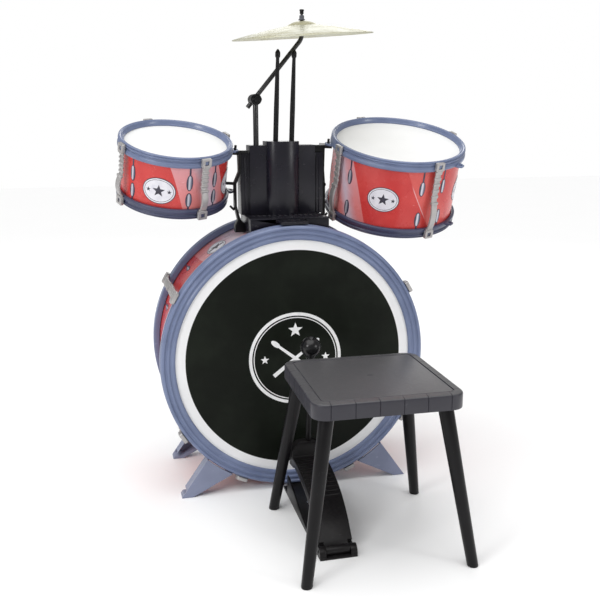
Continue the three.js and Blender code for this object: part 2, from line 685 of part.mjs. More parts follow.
const hingeRod = (left, right, radius, sides = 16) => bar(
  [left, hinge.y, hinge.z], [right, hinge.y, hinge.z], radius, radius, sides,
);
const hingeHole = hingeRod(pedalSideLow, pedalSideHigh, hinge.radius + GAP);
const boardLeft = pedal.left + pedal.cheek + pedal.boardGap;
const heelNotch = block(
  [pedal.left + pedal.knuckleWidth, pedalHeel - 10, pedal.plate - 1.5],
  [pedal.rightHeel - pedal.knuckleWidth, heelBack + 10, 40],
);
const tongue = block([-12, pedal.toe - 5, 0], [24, pedal.toe + 22, pedal.plate]);
pedalGroup.add(piece("pedal_base", cut(
  union(raised(plan(0), 0, pedal.plate), cut(cheeks, baseHollow), heelBar, tongue), heelNotch, hingeHole,
), finishes.black));
pedalGroup.add(piece(
  "pedal_hinge_pin", hingeRod(pedal.left + 2, pedal.rightHeel - 2, hinge.radius), finishes.steel,
));

/** The footboard's upper side: share of the way from heel to toe, and height. */
const boardStart = hinge.y + 5;
const boardRun = toeY - 22 - boardStart;
const boardCurve = new THREE.SplineCurve([
  [0, 13], [0.057, 22], [0.138, 34.5], [0.226, 45], [0.39, 59], [0.61, 69], [0.83, 73.5], [1, 75],
].map(([share, height]) => new THREE.Vector2(boardStart + boardRun * share, height)));

const beaterFoot = new THREE.Vector3(beater.x, toeY - beater.footDrop, beater.footHeight);
const beaterBall = new THREE.Vector3(beater.x, beater.ballY, beater.ballZ);
const beaterUp = beaterBall.clone().sub(beaterFoot).normalize();
const rodHole = bar(
  beaterFoot.toArray(), beaterBall.toArray(), beater.rodRadius + GAP, beater.rodRadius + GAP, 16,
);

/** The footboard's side outline, with its skirt and its rounded toe block. */
function boardSide() {
  const top = boardCurve.getPoints(16).map((point) => [point.x, point.y]);
  const boardEnd = toeY - 22;
  const toe = [[boardEnd + 2, 76], [boardEnd + 3, 88]];
  for (let step = 0; step <= 5; step += 1) {
    const angle = Math.PI - (Math.PI * step) / 5;
    toe.push([
      toeY - pedal.toeRound + pedal.toeRound * Math.cos(angle), pedal.toeTop - 6 + 6 * Math.sin(angle),
    ]);
  }
  const skirtAt = (y) => pedal.skirt * Math.min(1, (y - hinge.y) / 60);
  const lower = top.slice(1, -1).reverse().map(([y, z]) => [y, z - skirtAt(y)]);
  return { top, side: [...top, ...toe, [toeY, 56], [boardEnd - 1, 59], ...lower, [hinge.y + 4, 5]] };
}

/** The toe seen from the player's end: straight sides under a round top. */
function toeArch(left, right) {
  const middle = (left + right - GAP) / 2;
  const halfWidth = pedal.rightToe - middle;
  const arch = [[middle - halfWidth, -9], [middle + halfWidth, -9]];
  for (let step = 0; step <= 12; step += 1) {
    const angle = (Math.PI * step) / 12;
    const rise = (pedal.toeTop - pedal.toeShoulder) * Math.sin(angle);
    arch.push([middle + halfWidth * Math.cos(angle), pedal.toeShoulder + rise]);
  }
  return arch;
}

/** The ribbed, hollow footboard with its hinge knuckle at the heel and a block for the beater at the toe. */
function footboard() {
  const { top, side } = boardSide();
  const boardRight = pedal.rightHeel - pedal.cheek - pedal.boardGap;
  const boardRightToe = pedal.rightToe - pedal.cheek - pedal.boardGap;
  const boardPlan = [
    [boardLeft, pedalHeel], [boardRight, pedalHeel], [boardRightToe, pedal.toe], [boardLeft, pedal.toe],
  ];
  const outside = common(
    common(spread([...side].reverse(), pedalSideLow, pedalSideHigh), raised(boardPlan, -1, 120)),
    standing(toeArch(boardLeft, boardRightToe), pedalHeel - 5, pedal.toe),
  );
  const under = top.map(([y, z]) => [y + 1, z - pedal.boardThickness]).filter(([y]) => y > hinge.y + 19);
  const cavity = spread(
    [[under[0][0], -20], [toeY - 25, 20], ...under.reverse()], boardLeft + 3, boardRight - 2.4,
  );
  const knuckleEnds = [
    pedal.left + pedal.knuckleWidth + pedal.boardGap, pedal.rightHeel - pedal.knuckleWidth - pedal.boardGap,
  ];
  const heelTrims = [
    block([pedal.left - 9, pedalHeel - 9, -9], [knuckleEnds[0], heelBack + 1.2, 60]),
    block([knuckleEnds[1], pedalHeel - 9, -9], [pedal.rightToe + 9, heelBack + 1.2, 60]),
  ];
  const ribs = Array.from({ length: pedal.ribs }, (_, index) => {
    const point = boardCurve.getPoint(0.56 + (0.38 * index) / (pedal.ribs - 1));
    return block(
      [boardLeft + 3, point.x - pedal.ribWidth / 2, point.y - 2],
      [boardRight - 2, point.x + pedal.ribWidth / 2, point.y + pedal.ribHeight],
    );
  });
  const knuckle = hingeRod(knuckleEnds[0], knuckleEnds[1], pedal.knuckleRadius, 20);
  return cut(union(cut(outside, cavity, ...heelTrims), knuckle, ...ribs), hingeHole, rodHole);
}
pedalGroup.add(piece("pedal_footboard", footboard(), finishes.black));
const rodEnd = beaterBall.clone().addScaledVector(beaterUp, 2);
pedalGroup.add(piece("beater_rod", bar(
  beaterFoot.clone().addScaledVector(beaterUp, GAP).toArray(), rodEnd.toArray(), beater.rodRadius,
), finishes.black));

/** The beater's ball with its neck below and a dimple on top, its centre at height 0. */
function beaterHead() {
  const { ballRadius, neckRadius, neckLength } = beater;
  const neckBottom = -ballRadius - neckLength;
  const neckTop = -Math.sqrt(ballRadius ** 2 - neckRadius ** 2);
  const profile = [[0, neckBottom], [neckRadius, neckBottom], [neckRadius, neckTop]];
  for (let step = 1; step < 9; step += 1) {
    const angle = -Math.PI / 2 + Math.PI * (0.14 + (0.72 * step) / 9);
    profile.push([ballRadius * Math.cos(angle), ballRadius * Math.sin(angle)]);
  }
  profile.push([6, ballRadius * 0.92], [4.2, ballRadius * 0.75], [0, ballRadius * 0.7]);
  return turned(profile, 20);
}
const ballMesh = piece("beater_ball", cut(
  beaterHead(), bar([0, 0, -60], [0, 0, 2 + GAP], beater.rodRadius + GAP, beater.rodRadius + GAP, 16),
), finishes.rubber);
ballMesh.position.copy(beaterBall);
ballMesh.quaternion.setFromUnitVectors(new THREE.Vector3(0, 0, 1), beaterUp);
pedalGroup.add(ballMesh);

/** The return spring, from the base plate to the footboard's underside. */
function coilSpring() {
  const share = (spring.y - boardStart) / boardRun;
  const low = pedal.plate + spring.wire + GAP;
  const high = boardCurve.getPoint(share).y - pedal.boardThickness - spring.wire - 1;
  class Helix extends THREE.Curve {
    getPoint(part) {
      const angle = FULL_TURN * spring.turns * part;
      return new THREE.Vector3(
        spring.radius * Math.cos(angle), spring.radius * Math.sin(angle), low + (high - low) * part,
      );
    }
  }
  return new THREE.ExtrudeGeometry(disc(spring.wire, 8), {
    steps: spring.turns * spring.stepsPerTurn, bevelEnabled: false, extrudePath: new Helix(),
  });
}
const springMesh = piece("pedal_spring", coilSpring(), finishes.steel);
springMesh.position.set((pedal.left + pedal.rightToe) / 2 - 1, spring.y, 0);
pedalGroup.add(springMesh);

// ---------- stool ----------

const stoolGroup = new THREE.Group();
stoolGroup.position.set(stool.x, stoolY, 0);
stoolGroup.rotation.z = radians(stool.turn);
const seatUnderside = stool.top - stool.rim;
const ceiling = stool.top - stool.wall - 1;
const crownBottom = stool.top - stool.crown;
const corners = [["back_left", -1, 1], ["back_right", 1, 1], ["front_left", -1, -1], ["front_right", 1, -1]];

/** A leg's axis at a given height: it splays from under the seat's corner out to its foot. */
function legPoint([, sideX, sideY], height) {
  const share = 1 - height / stool.top;
  const x = stool.width / 2 - stool.legInset + (stool.legInset + stool.feetOutX) * share;
  const y = stool.depth / 2 - stool.legInset + (stool.legInset + stool.feetOutY) * share;
  return [sideX * x, sideY * y, height];
}
const legTaper = (stool.legTopRadius - stool.legFootRadius) / ceiling;
const legRadius = (height) => stool.legFootRadius + legTaper * height;
const legBar = (corner, low, high, extra, sides = 16) => bar(
  legPoint(corner, low), legPoint(corner, high), legRadius(low) + extra, legRadius(high) + extra, sides,
);

/** The seat's outline drawn in by an inset, raised from one height to another. */
const seatLayer = (inset, low, high) => raised(
  roundedRectangle(stool.width - 2 * inset, stool.depth - 2 * inset, stool.corner - inset), low, high,
);
const seatPlate = seatLayer(0, seatUnderside, crownBottom);
const crownPlate = seatLayer(stool.crownInset, crownBottom, stool.top);
const pocket = seatLayer(stool.wall, seatUnderside - 5, ceiling);
const [reachX, reachY] = [2 * stool.width, 2 * stool.depth];
const acrossStool = (low, high) => block([-reachX, -reachY, low], [reachX, reachY, high]);
const sockets = corners.map((corner) => common(
  legBar(corner, seatUnderside - 9, crownBottom, GAP + stool.socketWall, 20),
  acrossStool(seatUnderside, stool.top),
));
const legHoles = corners.map((corner) => legBar(corner, 0, ceiling, GAP));
stoolGroup.add(piece("stool_seat", cut(
  union(cut(union(seatPlate, crownPlate), pocket), ...sockets), ...legHoles,
), finishes.seat));
corners.forEach((corner) => {
  const leg = common(legBar(corner, -12, ceiling - GAP, 0), acrossStool(0, stool.top));
  stoolGroup.add(piece(`stool_leg_${corner[0]}`, leg, finishes.black));
});

// ---------- the whole kit ----------

const assembly = new THREE.Group();
assembly.add(bassGroup, feet, towerGroup, standGroup, pedalGroup, stoolGroup, tomLeftGroup, tomRightGroup);

assembly.updateMatrixWorld(true);
assembly.add(piece("tom_left_bracket", tomBracket(brackets[0], tomLeft, tomLeftGroup), finishes.black));
assembly.add(piece("tom_right_bracket", tomBracket(brackets[1], tomRight, tomRightGroup), finishes.black));

// The origin is under the middle of the whole kit, on the floor.
const extent = new THREE.Box3().setFromObject(assembly);
const middle = extent.getCenter(new THREE.Vector3());
assembly.position.set(-middle.x, -middle.y, -extent.min.z);

const kit = new THREE.Group();
kit.add(assembly);
kit.updateMatrixWorld(true);
export default kit;
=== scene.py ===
"""A child's plastic drum kit: bass drum, two toms, tower, cymbal, sticks, pedal and stool."""

from __future__ import annotations

import json
import logging
import math
from dataclasses import dataclass
from enum import Enum
from typing import Callable, Iterable, Sequence

import bmesh
import bpy
from bpy.types import Material, Node, NodeSocket, NodeTree, Object
from mathutils import Matrix, Vector

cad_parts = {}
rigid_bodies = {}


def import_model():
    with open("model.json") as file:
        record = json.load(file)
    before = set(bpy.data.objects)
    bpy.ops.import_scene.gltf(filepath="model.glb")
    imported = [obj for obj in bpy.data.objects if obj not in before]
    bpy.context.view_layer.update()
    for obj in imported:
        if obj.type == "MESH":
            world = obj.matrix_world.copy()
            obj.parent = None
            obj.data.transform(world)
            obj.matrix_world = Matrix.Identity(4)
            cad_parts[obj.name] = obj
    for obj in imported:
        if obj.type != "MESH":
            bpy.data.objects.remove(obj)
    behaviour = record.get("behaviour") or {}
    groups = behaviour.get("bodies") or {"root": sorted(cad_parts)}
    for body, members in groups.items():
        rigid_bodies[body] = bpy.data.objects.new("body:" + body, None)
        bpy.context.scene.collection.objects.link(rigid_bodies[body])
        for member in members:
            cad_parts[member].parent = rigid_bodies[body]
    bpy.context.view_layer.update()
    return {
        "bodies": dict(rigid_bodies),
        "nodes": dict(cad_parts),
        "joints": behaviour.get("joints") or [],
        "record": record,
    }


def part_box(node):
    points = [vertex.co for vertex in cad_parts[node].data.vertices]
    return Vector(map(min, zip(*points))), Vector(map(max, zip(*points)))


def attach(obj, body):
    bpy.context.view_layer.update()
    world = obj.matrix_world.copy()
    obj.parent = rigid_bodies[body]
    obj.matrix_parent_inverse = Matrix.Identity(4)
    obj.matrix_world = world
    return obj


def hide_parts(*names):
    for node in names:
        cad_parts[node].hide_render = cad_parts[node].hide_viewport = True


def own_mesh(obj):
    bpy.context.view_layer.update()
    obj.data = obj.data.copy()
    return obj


LOG = logging.getLogger("drum_kit")
MM = 0.001
FULL_TURN = 2.0 * math.pi
CLEAR = 0.3  # millimetres kept between neighbouring pieces
WRAP_MAP = "wrap"
WRAP_SPAN = 200.0  # millimetres that 1 stands for in the wrap map's second value
ROUND_STEPS = 144  # faces round a drum and round the cymbal
UPRIGHT = Vector((0.0, 0.0, 1.0))

Colour = tuple[float, float, float]
Point = tuple[float, float]


class Side(Enum):
    """The player's left or right."""

    LEFT = -1
    RIGHT = 1


class CapShape(Enum):
    """How the caps of a strap clamp are finished: the bevel of their corners in millimetres."""

    SQUARE = 0.9
    ROUND = 3.2


# ---------- Shader writing ----------


@dataclass
class Graph:
    """Writes nodes into one tree.

    Args:
        tree: The node tree of a material or of a group.
    """

    tree: NodeTree

    def add(self, kind: str, settings: dict[str, object] | None = None) -> Node:
        """Adds a node.

        Args:
            kind: The node's class name.
            settings: Properties to set on it.

        Returns:
            The new node.
        """
        node = self.tree.nodes.new(kind)
        for key, value in (settings or {}).items():
            setattr(node, key, value)
        return node

    def feed(self, socket: NodeSocket, value: object) -> None:
        """Links a socket to another, or sets its value.

        Args:
            socket: The input to feed.
            value: An output socket, a number or a colour.
        """
        if isinstance(value, NodeSocket):
            self.tree.links.new(value, socket)
        elif isinstance(value, tuple) and len(value) == 3 and len(socket.default_value) == 4:
            socket.default_value = (*value, 1.0)
        else:
            socket.default_value = value

    def math(self, operation: str, first: object, second: object = 0.0, third: object = 0.0) -> NodeSocket:
        """Adds a Math node.

        Args:
            operation: Its operation, such as MULTIPLY.
            first: Its first value.
            second: Its second value.
            third: Its third value.

        Returns:
            The result.
        """
        node = self.add("ShaderNodeMath", {"operation": operation})
        for socket, value in zip(node.inputs, (first, second, third)):
            self.feed(socket, value)
        return node.outputs[0]

    def times(self, first: object, second: object) -> NodeSocket:
        """Multiplies two values."""
        return self.math("MULTIPLY", first, second)

    def plus(self, first: object, second: object) -> NodeSocket:
        """Adds two values."""
        return self.math("ADD", first, second)

    def minus(self, first: object, second: object) -> NodeSocket:
        """Takes the second value from the first."""
        return self.math("SUBTRACT", first, second)

    def smooth(self, value: object, low: float, high: float, out: Point = (0.0, 1.0)) -> NodeSocket:
        """Maps a value from low..high to out, smoothly and clamped.

        Args:
            value: The value.
            low: Where the change starts.
            high: Where it ends.
            out: The results at low and high.

        Returns:
            The result.
        """
        node = self.add("ShaderNodeMapRange", {"interpolation_type": "SMOOTHSTEP"})
        for socket, given in zip(node.inputs, (value, low, high, *out)):
            self.feed(socket, given)
        return node.outputs[0]

    def mix(self, factor: object, first: object, second: object) -> NodeSocket:
        """Mixes two colours.

        Args:
            factor: How much of the second.
            first: A colour or a socket.
            second: A colour or a socket.

        Returns:
            The mixed colour.
        """
        node = self.add("ShaderNodeMix", {"data_type": "RGBA"})
        for index, value in ((0, factor), (6, first), (7, second)):
            self.feed(node.inputs[index], value)
        return node.outputs[2]

    def noise(self, vector: NodeSocket, scale: object, detail: float = 3.0,
              roughness: float = 0.55) -> NodeSocket:
        """Adds a Noise Texture.

        Args:
            vector: Where it is read.
            scale: Its scale.
            detail: Its detail.
            roughness: Its roughness.

        Returns:
            Its factor.
        """
        node = self.add("ShaderNodeTexNoise")
        self.feed(node.inputs["Vector"], vector)
        self.feed(node.inputs["Scale"], scale)
        node.inputs["Detail"].default_value = detail
        node.inputs["Roughness"].default_value = roughness
        return node.outputs["Fac"]

    def wrap(self) -> NodeSocket:
        """Reads the wrap map of the piece."""
        return self.add("ShaderNodeUVMap", {"uv_map": WRAP_MAP}).outputs[0]

    def reach(self) -> NodeSocket:
        """Reads the wrap map's second value, in metres."""
        return self.times(self.axis(self.wrap(), "Y"), WRAP_SPAN * MM)

    def axis(self, vector: NodeSocket, name: str) -> NodeSocket:
        """Takes one component of a vector: X, Y or Z."""
        node = self.add("ShaderNodeSeparateXYZ")
        self.feed(node.inputs[0], vector)
        return node.outputs[name]

    def bump(self, height: NodeSocket, distance: float) -> NodeSocket:
        """Adds a Bump node.

        Args:
            height: The height, 0 to 1.
            distance: What a height of 1 stands for, in metres.

        Returns:
            The normal.
        """
        node = self.add("ShaderNodeBump")
        node.inputs["Distance"].default_value = distance
        self.feed(node.inputs["Height"], height)
        return node.outputs[0]


@dataclass(frozen=True)
class SharedEffect:
    """A shader node group, built once and placed in every material that shows the effect.

    Args:
        name: The group's name.
        inputs: Each input's name, socket kind and default.
        outputs: Each output's name and socket kind.
        write: Fills the tree between its inputs and outputs.
    """

    name: str
    inputs: tuple[tuple[str, str, object], ...]
    outputs: tuple[tuple[str, str], ...]
    write: Callable[[Graph, Node, Node], None]

    def tree(self) -> NodeTree:
        """Returns the group's tree, which is built at its first use."""
        made = bpy.data.node_groups.get(self.name)
        if made is not None:
            return made
        made = bpy.data.node_groups.new(self.name, "ShaderNodeTree")
        for name, kind, default in self.inputs:
            socket = made.interface.new_socket(name=name, in_out="INPUT", socket_type=kind)
            if default is not None:
                socket.default_value = default
        for name, kind in self.outputs:
            made.interface.new_socket(name=name, in_out="OUTPUT", socket_type=kind)
        graph = Graph(made)
        self.write(graph, graph.add("NodeGroupInput"), graph.add("NodeGroupOutput"))
        return made

    def place(self, graph: Graph, values: dict[str, object]) -> Node:
        """Places the group in a material.

        Args:
            graph: The material's graph.
            values: A value or a socket for each input that isn't left at its default.

        Returns:
            The group node.
        """
        node = graph.add("ShaderNodeGroup", {"node_tree": self.tree()})
        for name, value in values.items():
            graph.feed(node.inputs[name], value)
        return node


def _write_moulded_grain(graph: Graph, given: Node, result: Node) -> None:
    """Fine tool texture with slow flow waves, as an injection moulding has."""
    vector = given.outputs["Vector"]
    fine = graph.noise(vector, given.outputs["Scale"], 2.0, 0.7)
    flow = graph.noise(vector, 28.0, 2.0, 0.5)
    height = graph.plus(graph.times(fine, 0.35), graph.times(flow, 0.65))
    graph.feed(result.inputs["Height"], height)
    graph.feed(result.inputs["Mottle"], graph.smooth(flow, 0.3, 0.7))


def _write_handling_wear(graph: Graph, given: Node, result: Node) -> None:
    """Thin scratches and dull finger smudges."""
    vector = given.outputs["Vector"]
    stretch = graph.add("ShaderNodeMapping")
    stretch.inputs["Rotation"].default_value = (0.5, 0.3, 0.9)
    stretch.inputs["Scale"].default_value = (1.0, 14.0, 2.0)
    graph.feed(stretch.inputs["Vector"], vector)
    scratch = graph.smooth(graph.noise(stretch.outputs[0], 60.0, 4.0, 0.6), 0.66, 0.72)
    smudge = graph.smooth(graph.noise(vector, 22.0, 5.0, 0.6), 0.42, 0.75)
    amount = given.outputs["Amount"]
    mask = graph.times(scratch, amount)
    graph.feed(result.inputs["Color"], graph.mix(mask, given.outputs["Color"], given.outputs["Worn Color"]))
    dulled = graph.times(graph.plus(smudge, scratch), graph.times(amount, 0.22))
    graph.feed(result.inputs["Roughness"], graph.plus(given.outputs["Roughness"], dulled))


def _write_settled_dust(graph: Graph, given: Node, result: Node) -> None:
    """A thin pale dust on what faces up."""
    facing = graph.smooth(graph.axis(graph.add("ShaderNodeNewGeometry").outputs["Normal"], "Z"), 0.55, 1.0)
    patchy = graph.smooth(graph.noise(given.outputs["Vector"], 240.0, 3.0, 0.7), 0.35, 0.8)
    mask = graph.times(graph.times(facing, patchy), given.outputs["Amount"])
    graph.feed(result.inputs["Color"], graph.mix(mask, given.outputs["Color"], (0.52, 0.51, 0.5)))


MOULDED_GRAIN = SharedEffect(
    "moulded_grain",
    (("Vector", "NodeSocketVector", None), ("Scale", "NodeSocketFloat", 900.0)),
    (("Height", "NodeSocketFloat"), ("Mottle", "NodeSocketFloat")),
    _write_moulded_grain,
)
HANDLING_WEAR = SharedEffect(
    "handling_wear",
    (
        ("Vector", "NodeSocketVector", None),
        ("Color", "NodeSocketColor", None),
        ("Worn Color", "NodeSocketColor", None),
        ("Roughness", "NodeSocketFloat", 0.4),
        ("Amount", "NodeSocketFloat", 0.3),
    ),
    (("Color", "NodeSocketColor"), ("Roughness", "NodeSocketFloat")),
    _write_handling_wear,
)
SETTLED_DUST = SharedEffect(
    "settled_dust",
    (
        ("Vector", "NodeSocketVector", None),
        ("Color", "NodeSocketColor", None),
        ("Amount", "NodeSocketFloat", 0.1),
    ),
    (("Color", "NodeSocketColor"),),
    _write_settled_dust,
)


# ---------- Finishes ----------


@dataclass(frozen=True)
class Finish:
    """What every finish has.

    Args:
        name: The material's name.
        colour: Its main colour, linear.
        roughness: Its roughness.
    """

    name: str
    colour: Colour
    roughness: float

    def material(self) -> Material:
        """Returns the finish's material, which is built at its first use."""
        made = bpy.data.materials.get(self.name)
        if made is not None:
            return made
        made = bpy.data.materials.new(self.name)
        made.use_nodes = True
        made.diffuse_color = (*self.colour, 1.0)
        graph = Graph(made.node_tree)
        shader = made.node_tree.nodes["Principled BSDF"]
        shader.inputs["Base Color"].default_value = (*self.colour, 1.0)
        shader.inputs["Roughness"].default_value = self.roughness
        self.write(graph, shader, graph.add("ShaderNodeTexCoord").outputs["Object"])
        return made

    def write(self, graph: Graph, shader: Node, place: NodeSocket) -> None:
        """Writes the finish's nodes.

        Args:
            graph: The material's graph.
            shader: Its Principled BSDF.
            place: Object coordinates.
        """
        raise NotImplementedError


@dataclass(frozen=True)
class MouldedPlastic(Finish):
    """Coloured plastic out of a mould, with slow tone changes, wear and a little dust.

    Args:
        shade: The darker tone it drifts to.
        grain: Scale of the tool texture.
        depth: Depth of the tool texture in metres.
        wear: How worn it is.
        dust: How dusty it is.
        metallic: Metallic share, for silver pigment.
        coat: Clear gloss on top.
        specular: Strength of its reflections.
        top: Colour that faces turned upwards fade to: a painted highlight of the light from above.
    """

    shade: Colour = (0.0, 0.0, 0.0)
    grain: float = 900.0
    depth: float = 0.0001
    wear: float = 0.3
    dust: float = 0.03
    metallic: float = 0.0
    coat: float = 0.0
    specular: float = 0.5
    top: Colour | None = None

    def write(self, graph: Graph, shader: Node, place: NodeSocket) -> None:
        """Writes the nodes. See Finish.write."""
        grain = MOULDED_GRAIN.place(graph, {"Vector": place, "Scale": self.grain})
        drift = graph.times(grain.outputs["Mottle"], 0.55)
        tone = graph.mix(drift, self.colour, self.shade)
        # Painted highlight: faces turned upwards are mixed towards the lighter top colour, as if lit from
        # above.
        if self.top is not None:
            facing = graph.axis(graph.add("ShaderNodeTexCoord").outputs["Normal"], "Z")
            tone = graph.mix(graph.smooth(facing, 0.6, 0.95), tone, self.top)
        pale = tuple(min(1.0, part * 1.5 + 0.05) for part in self.colour)
        worn = HANDLING_WEAR.place(graph, {
            "Vector": place, "Color": tone, "Worn Color": pale, "Roughness": self.roughness,
            "Amount": self.wear,
        })
        dusty = SETTLED_DUST.place(graph, {
            "Vector": place, "Color": worn.outputs["Color"], "Amount": self.dust,
        })
        graph.feed(shader.inputs["Base Color"], dusty.outputs["Color"])
        graph.feed(shader.inputs["Roughness"], worn.outputs["Roughness"])
        graph.feed(shader.inputs["Normal"], graph.bump(grain.outputs["Height"], self.depth))
        shader.inputs["Metallic"].default_value = self.metallic
        shader.inputs["Coat Weight"].default_value = self.coat
        shader.inputs["Coat Roughness"].default_value = 0.12
        shader.inputs["Specular IOR Level"].default_value = self.specular


@dataclass(frozen=True)
class DrawnMetal(Finish):
    """Metal rod or wire with lines along it, bare or lacquered.

    Args:
        metallic: 1 for bare metal, 0 under lacquer.
        coat: Clear gloss on top.
        lines: Scale of the lines across the metal.
    """

    metallic: float = 1.0
    coat: float = 0.0
    lines: float = 500.0

    def write(self, graph: Graph, shader: Node, place: NodeSocket) -> None:
        """Writes the nodes. See Finish.write."""
        along = graph.add("ShaderNodeMapping")
        along.inputs["Scale"].default_value = (1.0, 1.0, 0.06)
        graph.feed(along.inputs["Vector"], place)
        lines = graph.noise(along.outputs[0], self.lines, 3.0, 0.6)
        drift = graph.smooth(graph.noise(place, 45.0, 2.0), 0.35, 0.7)
        dark = tuple(part * 0.72 for part in self.colour)
        worn = HANDLING_WEAR.place(graph, {
            "Vector": place, "Color": graph.mix(drift, self.colour, dark), "Worn Color": (0.55, 0.55, 0.56),
            "Roughness": self.roughness, "Amount": 0.35,
        })
        graph.feed(shader.inputs["Base Color"], worn.outputs["Color"])
        graph.feed(shader.inputs["Roughness"], worn.outputs["Roughness"])
        graph.feed(shader.inputs["Normal"], graph.bump(lines, 0.00004))
        shader.inputs["Metallic"].default_value = self.metallic
        shader.inputs["Coat Weight"].default_value = self.coat


@dataclass(frozen=True)
class PrintTones:
    """The inks of the print round a drum's shell.

    Args:
        clouded: What the red drifts to in clouds.
        faded: What the red drifts to down the drum.
        band_high: A pale band at the rim.
        band_low: A pale band at the far end.
        sheen: The brightest part of a band.
        thin: A thin line.
        beyond: The lighter red beyond a thin line.
        dots: The halftone's dots.
        scratched: Where the print is scratched.
    """

    clouded: Colour = (0.63, 0.045, 0.040)
    faded: Colour = (0.70, 0.075, 0.065)
    band_high: Colour = (0.72, 0.33, 0.36)
    band_low: Colour = (0.72, 0.20, 0.19)
    sheen: Colour = (0.66, 0.54, 0.63)
    thin: Colour = (0.84, 0.52, 0.55)
    beyond: Colour = (0.76, 0.15, 0.13)
    dots: Colour = (0.9, 0.42, 0.4)
    scratched: Colour = (0.85, 0.5, 0.5)


@dataclass(frozen=True)
class PrintedWrap(Finish):
    """The glossy print round a drum's shell: red with slanting pale bands and fine pale lines.

    The wrap map holds turns round the drum and depth below the rim.

    Args:
        bands: Where each pale band starts and ends at the rim, in degrees.
        slant: How far a band's edges move round per millimetre down, in degrees.
        lines: Where thin pale lines start at the rim, in degrees.
        height: The drum's height in millimetres.
        tones: The print's inks.
        band_edge: Half the width of a band's soft edge, in degrees.
        band_curve: How far a band's edges curve back at the far end, in degrees.
        line_curve: How far a thin line runs ahead of its band at the far end, in degrees.
        dot_counts: How many halftone dots fill the wrap map, across and down.
    """

    bands: tuple[Point, ...] = ()
    slant: float = 0.25
    lines: tuple[float, ...] = ()
    height: float = 100.0
    tones: PrintTones = PrintTones()
    band_edge: float = 0.25
    band_curve: float = 4.0
    line_curve: float = 9.0
    dot_counts: Point = (430.0, 170.0)

    def write(self, graph: Graph, shader: Node, place: NodeSocket) -> None:
        """Writes the nodes. See Finish.write."""
        wrap = graph.wrap()
        turn = graph.times(graph.axis(wrap, "X"), 360.0)
        down = graph.times(graph.axis(wrap, "Y"), WRAP_SPAN)
        level = graph.smooth(down, 0.0, self.height)
        squared = graph.times(level, level)
        slanted = graph.minus(turn, graph.times(down, self.slant))
        slid = graph.plus(slanted, graph.times(squared, self.band_curve))
        slid = graph.math("WRAP", slid, 360.0, 0.0)
        cloud = graph.noise(place, 26.0, 3.0, 0.6)
        tint = graph.mix(graph.smooth(cloud, 0.35, 0.7), self.colour, self.tones.clouded)
        tint = graph.mix(graph.times(level, 0.25), tint, self.tones.faded)
        pink = graph.mix(level, self.tones.band_high, self.tones.band_low)
        for band in self.bands:
            tint = self._banded(graph, tint, pink, slid, cloud, band)
        for start in self.lines:
            past = graph.minus(slid, graph.plus(graph.times(squared, self.line_curve), start))
            tint = self._lined(graph, tint, past, level)
        worn = HANDLING_WEAR.place(graph, {
            "Vector": place, "Color": self._dotted(graph, tint, wrap), "Worn Color": self.tones.scratched,
            "Roughness": self.roughness, "Amount": 0.25,
        })
        graph.feed(shader.inputs["Base Color"], worn.outputs["Color"])
        graph.feed(shader.inputs["Roughness"], worn.outputs["Roughness"])
        graph.feed(shader.inputs["Normal"], graph.bump(graph.noise(place, 55.0, 2.0, 0.4), 0.0004))
        shader.inputs["Coat Weight"].default_value = 0.15
        shader.inputs["Coat Roughness"].default_value = 0.1
        shader.inputs["Specular IOR Level"].default_value = 0.3

    def _banded(self, graph: Graph, tint: NodeSocket, pink: NodeSocket, slid: NodeSocket, cloud: NodeSocket,
                band: Point) -> NodeSocket:
        """Lays one pale band over the print.

        Args:
            graph: The material's graph.
            tint: The print so far.
            pink: The band's own tone.
            slid: Degrees round the drum, slanted as the bands are.
            cloud: Slow noise.
            band: Where the band starts and ends.

        Returns:
            The print with the band.
        """
        start, end = band
        inside = graph.times(
            graph.smooth(slid, start - self.band_edge, start + self.band_edge),
            graph.smooth(slid, end - self.band_edge, end + self.band_edge, (1.0, 0.0)),
        )
        crest = graph.minus(1.0, graph.math("ABSOLUTE", graph.minus(graph.smooth(slid, start, end), 0.62)))
        sheen = graph.smooth(graph.plus(crest, graph.times(cloud, 0.35)), 0.8, 1.18)
        return graph.mix(inside, tint, graph.mix(sheen, pink, self.tones.sheen))

    def _lined(self, graph: Graph, tint: NodeSocket, past: NodeSocket, level: NodeSocket) -> NodeSocket:
        """Lays one thin line over the print, with a lighter red beyond it.

        Args:
            graph: The material's graph.
            tint: The print so far.
            past: Degrees past the line.
            level: 0 at the rim to 1 at the far end.

        Returns:
            The print with the line.
        """
        drawn = graph.times(graph.smooth(level, 0.2, 0.35), graph.smooth(level, 0.75, 0.9, (1.0, 0.0)))
        thin = graph.times(graph.smooth(graph.math("ABSOLUTE", past), 0.3, 0.55, (0.75, 0.0)), drawn)
        tint = graph.mix(thin, tint, self.tones.thin)
        beyond = graph.times(graph.smooth(past, 0.0, 0.4), graph.smooth(past, 16.0, 30.0, (0.5, 0.0)))
        return graph.mix(beyond, tint, self.tones.beyond)

    def _dotted(self, graph: Graph, tint: NodeSocket, wrap: NodeSocket) -> NodeSocket:
        """Lays a faint halftone over the print.

        Args:
            graph: The material's graph.
            tint: The print so far.
            wrap: The wrap map.

        Returns:
            The print with the halftone.
        """
        scaled = graph.add("ShaderNodeMapping")
        scaled.inputs["Scale"].default_value = (*self.dot_counts, 1.0)
        scaled.inputs["Rotation"].default_value = (0.0, 0.0, 0.2)
        graph.feed(scaled.inputs["Vector"], wrap)
        dots = graph.add("ShaderNodeTexChecker")
        graph.feed(dots.inputs["Vector"], scaled.outputs[0])
        dots.inputs["Scale"].default_value = 1.0
        return graph.mix(graph.times(dots.outputs["Fac"], 0.09), tint, self.tones.dots)


